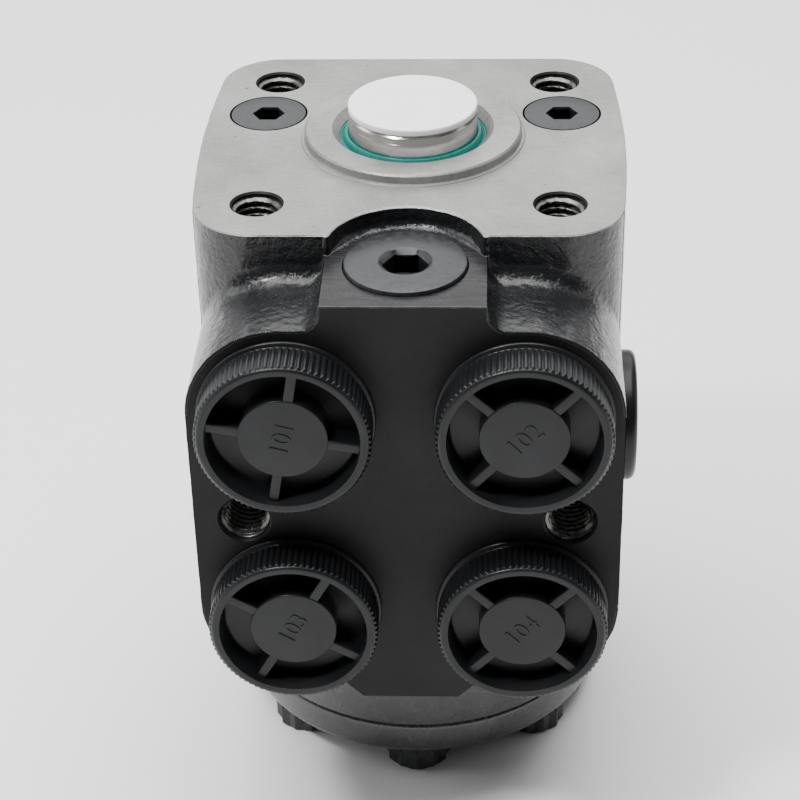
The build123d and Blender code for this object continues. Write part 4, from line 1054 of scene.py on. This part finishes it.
def soft_bar_points(length, width, low, high, edge):
    """Long bar with rounded top edges, as a grid of section point by step along it."""
    half = width / 2
    section = [(-half, low), (-half, high - edge)]
    for a in np.linspace(0.3, 1.57, 4):
        section.append((-half + edge - edge * np.cos(a), high - edge + edge * np.sin(a)))
    section += [(-y, z) for y, z in section[::-1]]
    section = np.array(section)
    x = np.linspace(-length, length, 9)
    y = section[:, 0][:, None] + 0 * x
    z = section[:, 1][:, None] + 0 * x
    return np.stack([np.broadcast_to(x, y.shape), y, z], -1)


def spin_points(points, degrees):
    """Points turned about their own Z."""
    a = np.radians(degrees)
    turn = np.array([[np.cos(a), -np.sin(a), 0], [np.sin(a), np.cos(a), 0], [0, 0, 1]])
    return points @ turn.T


def number_points(text, size):
    """Number as a solid mesh, centred on the origin: points and faces."""
    curve = bpy.data.curves.new("number", "FONT")
    curve.body = text
    curve.size = size
    curve.align_x = "CENTER"
    curve.align_y = "CENTER"
    curve.extrude = 0.18
    curve.bevel_depth = 0.05
    curve.resolution_u = 6
    carrier = bpy.data.objects.new("number", curve)
    bpy.context.scene.collection.objects.link(carrier)
    bpy.context.view_layer.update()
    mesh = bpy.data.meshes.new_from_object(carrier.evaluated_get(bpy.context.evaluated_depsgraph_get()))
    points = np.zeros(len(mesh.vertices) * 3)
    mesh.vertices.foreach_get("co", points)
    faces = [tuple(p.vertices) for p in mesh.polygons]
    bpy.data.objects.remove(carrier)
    bpy.data.meshes.remove(mesh)
    return points.reshape(-1, 3), faces


def add_port_cap(place, x, z, spokes, number, number_turn):
    """Screw cap with ribbed rim, dished face, hub, four spokes and a moulded number."""
    name = f"cap_{place}"
    centre = np.array([x, PORT_FACE_Y, z])

    def put(points):
        return turned(points, "-Y") + centre

    shape = put(cap_shell_points())
    shell = add_surface(f"{name}_shell", shape, CAP_PLASTIC, name, close=True)
    sharpen(shell, 50)
    hub = [(0, 1.0), (CAP_HUB, 1.0, 0.1), (CAP_HUB, CAP_HUB_TOP, 0.3), (0, CAP_HUB_TOP)]
    closed_lathe(f"{name}_hub", hub, 120, name, CAP_PLASTIC, centre, "-Y")
    for number_of_bar, turn in enumerate((0, 90), 1):
        bar = soft_bar_points(CAP_RIM - CAP_WALL + 0.4, CAP_SPOKE_WIDTH, CAP_FLOOR - 0.4, CAP_SPOKE_TOP, 0.3)
        bar = put(spin_points(bar, spokes + turn))
        bar_name = f"{name}_spoke_{number_of_bar}"
        sharpen(add_surface(bar_name, bar, CAP_PLASTIC, name, flip=True), 50)
    digits, faces = number_points(number, CAP_NUMBER_SIZE)
    digits = spin_points(digits + [0, 0, CAP_HUB_TOP - 0.02], number_turn)
    mesh_piece(f"{name}_number", put(digits), faces, name, CAP_PLASTIC, smooth=False)
    radius = PORT_RADIUS - 0.25
    inner = radius - 1.6
    stem = [(inner, -CAP_STEM), (radius, -CAP_STEM, 0.4), (radius, 0.3), (inner, 0.3)]
    ring_lathe(f"{name}_stem", stem, 96, name, CAP_PLASTIC, centre, "-Y")
    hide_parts(f"port_cap_{place}")


add_port_cap("upper_left", -PORT_X, UPPER_PORT_Z, 80.5, "101", 75)
add_port_cap("upper_right", PORT_X, UPPER_PORT_Z, 47.0, "102", 44)
add_port_cap("lower_left", -PORT_X, LOWER_PORT_Z, 60.0, "103", 58)
add_port_cap("lower_right", PORT_X, LOWER_PORT_Z, 46.0, "104", 45)


def add_sense_cap():
    """Smooth push-in cap over the load-sense port."""
    centre = (SENSE_X, SENSE_Y, SENSE_Z)
    head = [(0, 0.01), (SENSE_CAP_RADIUS, 0.01, 0.2), (SENSE_CAP_RADIUS, SENSE_CAP_HEIGHT, 1.5),
            (0, SENSE_CAP_HEIGHT)]
    cap = closed_lathe("sense_cap_head", head, 160, "sense_cap", CAP_PLASTIC, centre, "+X")
    radius = SENSE_RADIUS - 0.25
    inner = radius - 1.2
    stem = [(inner, -SENSE_STEM), (radius, -SENSE_STEM, 0.3), (radius, 0.5), (inner, 0.5)]
    ring_lathe("sense_cap_stem", stem, 80, "sense_cap", CAP_PLASTIC, centre, "+X")
    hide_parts("sense_port_cap")


add_sense_cap()


# ---- Metering stack, washers and screw heads ----
def add_stack():
    """Turned outer walls of plate, gear ring and cover, just outside the solids."""
    wall = STACK_RADIUS + 0.02
    walls = (("plate_wall", PLATE_TOP_Z, RING_TOP_Z), ("ring_wall", RING_TOP_Z, COVER_TOP_Z))
    for name, top, bottom in walls:
        inner = STACK_RADIUS - 0.5
        low, high = bottom + 0.02, top - 0.02
        ring_lathe(name, [(inner, low), (wall, low, 0.3), (wall, high, 0.3), (inner, high)],
                   280, "unit", SATIN_BLACK, closed=False)
    inner = STACK_RADIUS - 2.2
    low, high = COVER_BOTTOM_Z - 0.02, COVER_TOP_Z - 0.02
    ring_lathe("cover_wall", [(inner, low), (wall, low, 1.6), (wall, high, 1.6), (inner, high)],
               280, "unit", SATIN_BLACK, closed=False)


def add_screw(number):
    """Hexagon screw head on its washer; the face's 30 degree chamfer cuts the hexagon's corners."""
    turn = -np.pi / 2 + TAU * number / BOLT_COUNT
    x, y = BOLT_CIRCLE * np.cos(turn), BOLT_CIRCLE * np.sin(turn)
    washer_low, washer_high = COVER_BOTTOM_Z - WASHER_THICKNESS, COVER_BOTTOM_Z - 0.03
    washer = [(WASHER_BORE, washer_low), (WASHER_RADIUS, washer_low, 0.2),
              (WASHER_RADIUS, washer_high, 0.2), (WASHER_BORE, washer_high)]
    ring_lathe(f"washer_{number + 1}", washer, 72, "unit", BLACK_OXIDE, (x, y, 0))
    t = np.arange(OUTLINE_STEPS) * TAU / OUTLINE_STEPS
    hexagonal = hexagon_radius(t - turn - np.pi / 6, SCREW_FLATS)
    face = washer_low - SCREW_HEAD_HEIGHT
    circle = np.ones_like(t)
    rows = [(4.5 * circle, washer_low - 0.05), (hexagonal, washer_low - 0.05)]
    rows += [(np.minimum(hexagonal, 6.35 + k), face + 0.577 * k) for k in np.linspace(1.25, 0.1, 6)]
    rows += [(6.2 * circle, face - 0.01)]
    stacked_outlines(f"screw_head_{number + 1}", rows, x, y, face - 0.01, BLACK_OXIDE)


add_stack()
for screw in range(BOLT_COUNT):
    add_screw(screw)


# ---- Floor, light and camera ----
def add_floor():
    """Pale floor under the screw heads."""
    mesh = bpy.data.meshes.new("floor")
    reach = 3.0
    z = FLOOR_Z * MM
    corners = [(-reach, -reach, z), (reach, -reach, z), (reach, reach, z), (-reach, reach, z)]
    mesh.from_pydata(corners, [], [(0, 1, 2, 3)])
    floor = bpy.data.objects.new("floor", mesh)
    bpy.context.scene.collection.objects.link(floor)
    paper = bpy.data.materials.new("floor_paper")
    paper.use_nodes = True
    shader = paper.node_tree.nodes["Principled BSDF"]
    shader.inputs["Base Color"].default_value = (0.95, 0.95, 0.95, 1)
    uniform(shader, "Roughness", 0.9)
    mesh.materials.append(paper)


def add_lamp(name, place, target, width, height, power):
    """Rectangular soft lamp that faces a point."""
    data = bpy.data.lights.new(name, "AREA")
    data.shape = "RECTANGLE"
    data.size = width
    data.size_y = height
    data.energy = power
    lamp = bpy.data.objects.new(name, data)
    bpy.context.scene.collection.objects.link(lamp)
    place = Vector(place)
    aim = (Vector(target) - place).to_track_quat("-Z", "Y")
    lamp.matrix_world = Matrix.Translation(place) @ aim.to_matrix().to_4x4()


WORLD_FRONT = 0.12
WORLD_REAR = 0.7
WORLD_RIGHT = 0.3               # share of that strength at the far right


def add_world():
    """Soft surroundings: bright behind the unit, dim in front of it."""
    world = bpy.data.worlds.new("studio")
    world.use_nodes = True
    tree = world.node_tree
    background = tree.nodes["Background"]
    background.inputs["Color"].default_value = (1, 1, 1, 1)
    split = tree.nodes.new("ShaderNodeSeparateXYZ")
    tree.links.new(tree.nodes.new("ShaderNodeTexCoord").outputs["Generated"], split.inputs[0])
    depth = spread(tree, split.outputs["Y"], WORLD_FRONT, WORLD_REAR, -0.5, 0.6)
    across = spread(tree, split.outputs["X"], 1.0, WORLD_RIGHT, 0.0, 0.8)
    tree.links.new(multiply(tree, depth, across), background.inputs["Strength"])
    bpy.context.scene.world = world


CAMERA_PLACE = (0.017171, -0.413255, 0.204715)
CAMERA_RIGHT = (0.99906806, 0.03841226, -0.01968522)
CAMERA_UP = (-0.00458143, 0.54786861, 0.83655185)
CAMERA_BACK = (0.04291876, -0.83568205, 0.54753401)
LENS = 98.74
SENSOR = 36.0


def add_camera():
    """Camera from its place and its three directions."""
    data = bpy.data.cameras.new("view")
    data.lens = LENS
    data.sensor_width = SENSOR
    data.sensor_fit = "HORIZONTAL"
    data.clip_start = 0.01
    camera = bpy.data.objects.new("view", data)
    bpy.context.scene.collection.objects.link(camera)
    columns = Matrix((CAMERA_RIGHT, CAMERA_UP, CAMERA_BACK)).transposed().to_4x4()
    camera.matrix_world = Matrix.Translation(CAMERA_PLACE) @ columns
    bpy.context.scene.camera = camera


add_floor()
add_world()
add_lamp("rear_box", (0.0, 0.85, 0.70), (0, 0, 0), 1.5, 0.8, 8.0)
add_lamp("left_box", (-0.85, 0.05, 0.30), (0, 0, -0.06), 0.5, 0.6, 3.0)
add_lamp("right_box", (0.85, 0.10, 0.30), (0, 0, -0.06), 0.4, 0.6, 0.7)
add_lamp("key", (-0.30, -0.32, 0.62), (-0.01, -0.03, -0.02), 0.11, 0.11, 4.0)
add_lamp("top_box", (0.0, 0.1, 1.3), (0, 0, 0), 1.2, 1.2, 32.0)
add_camera()
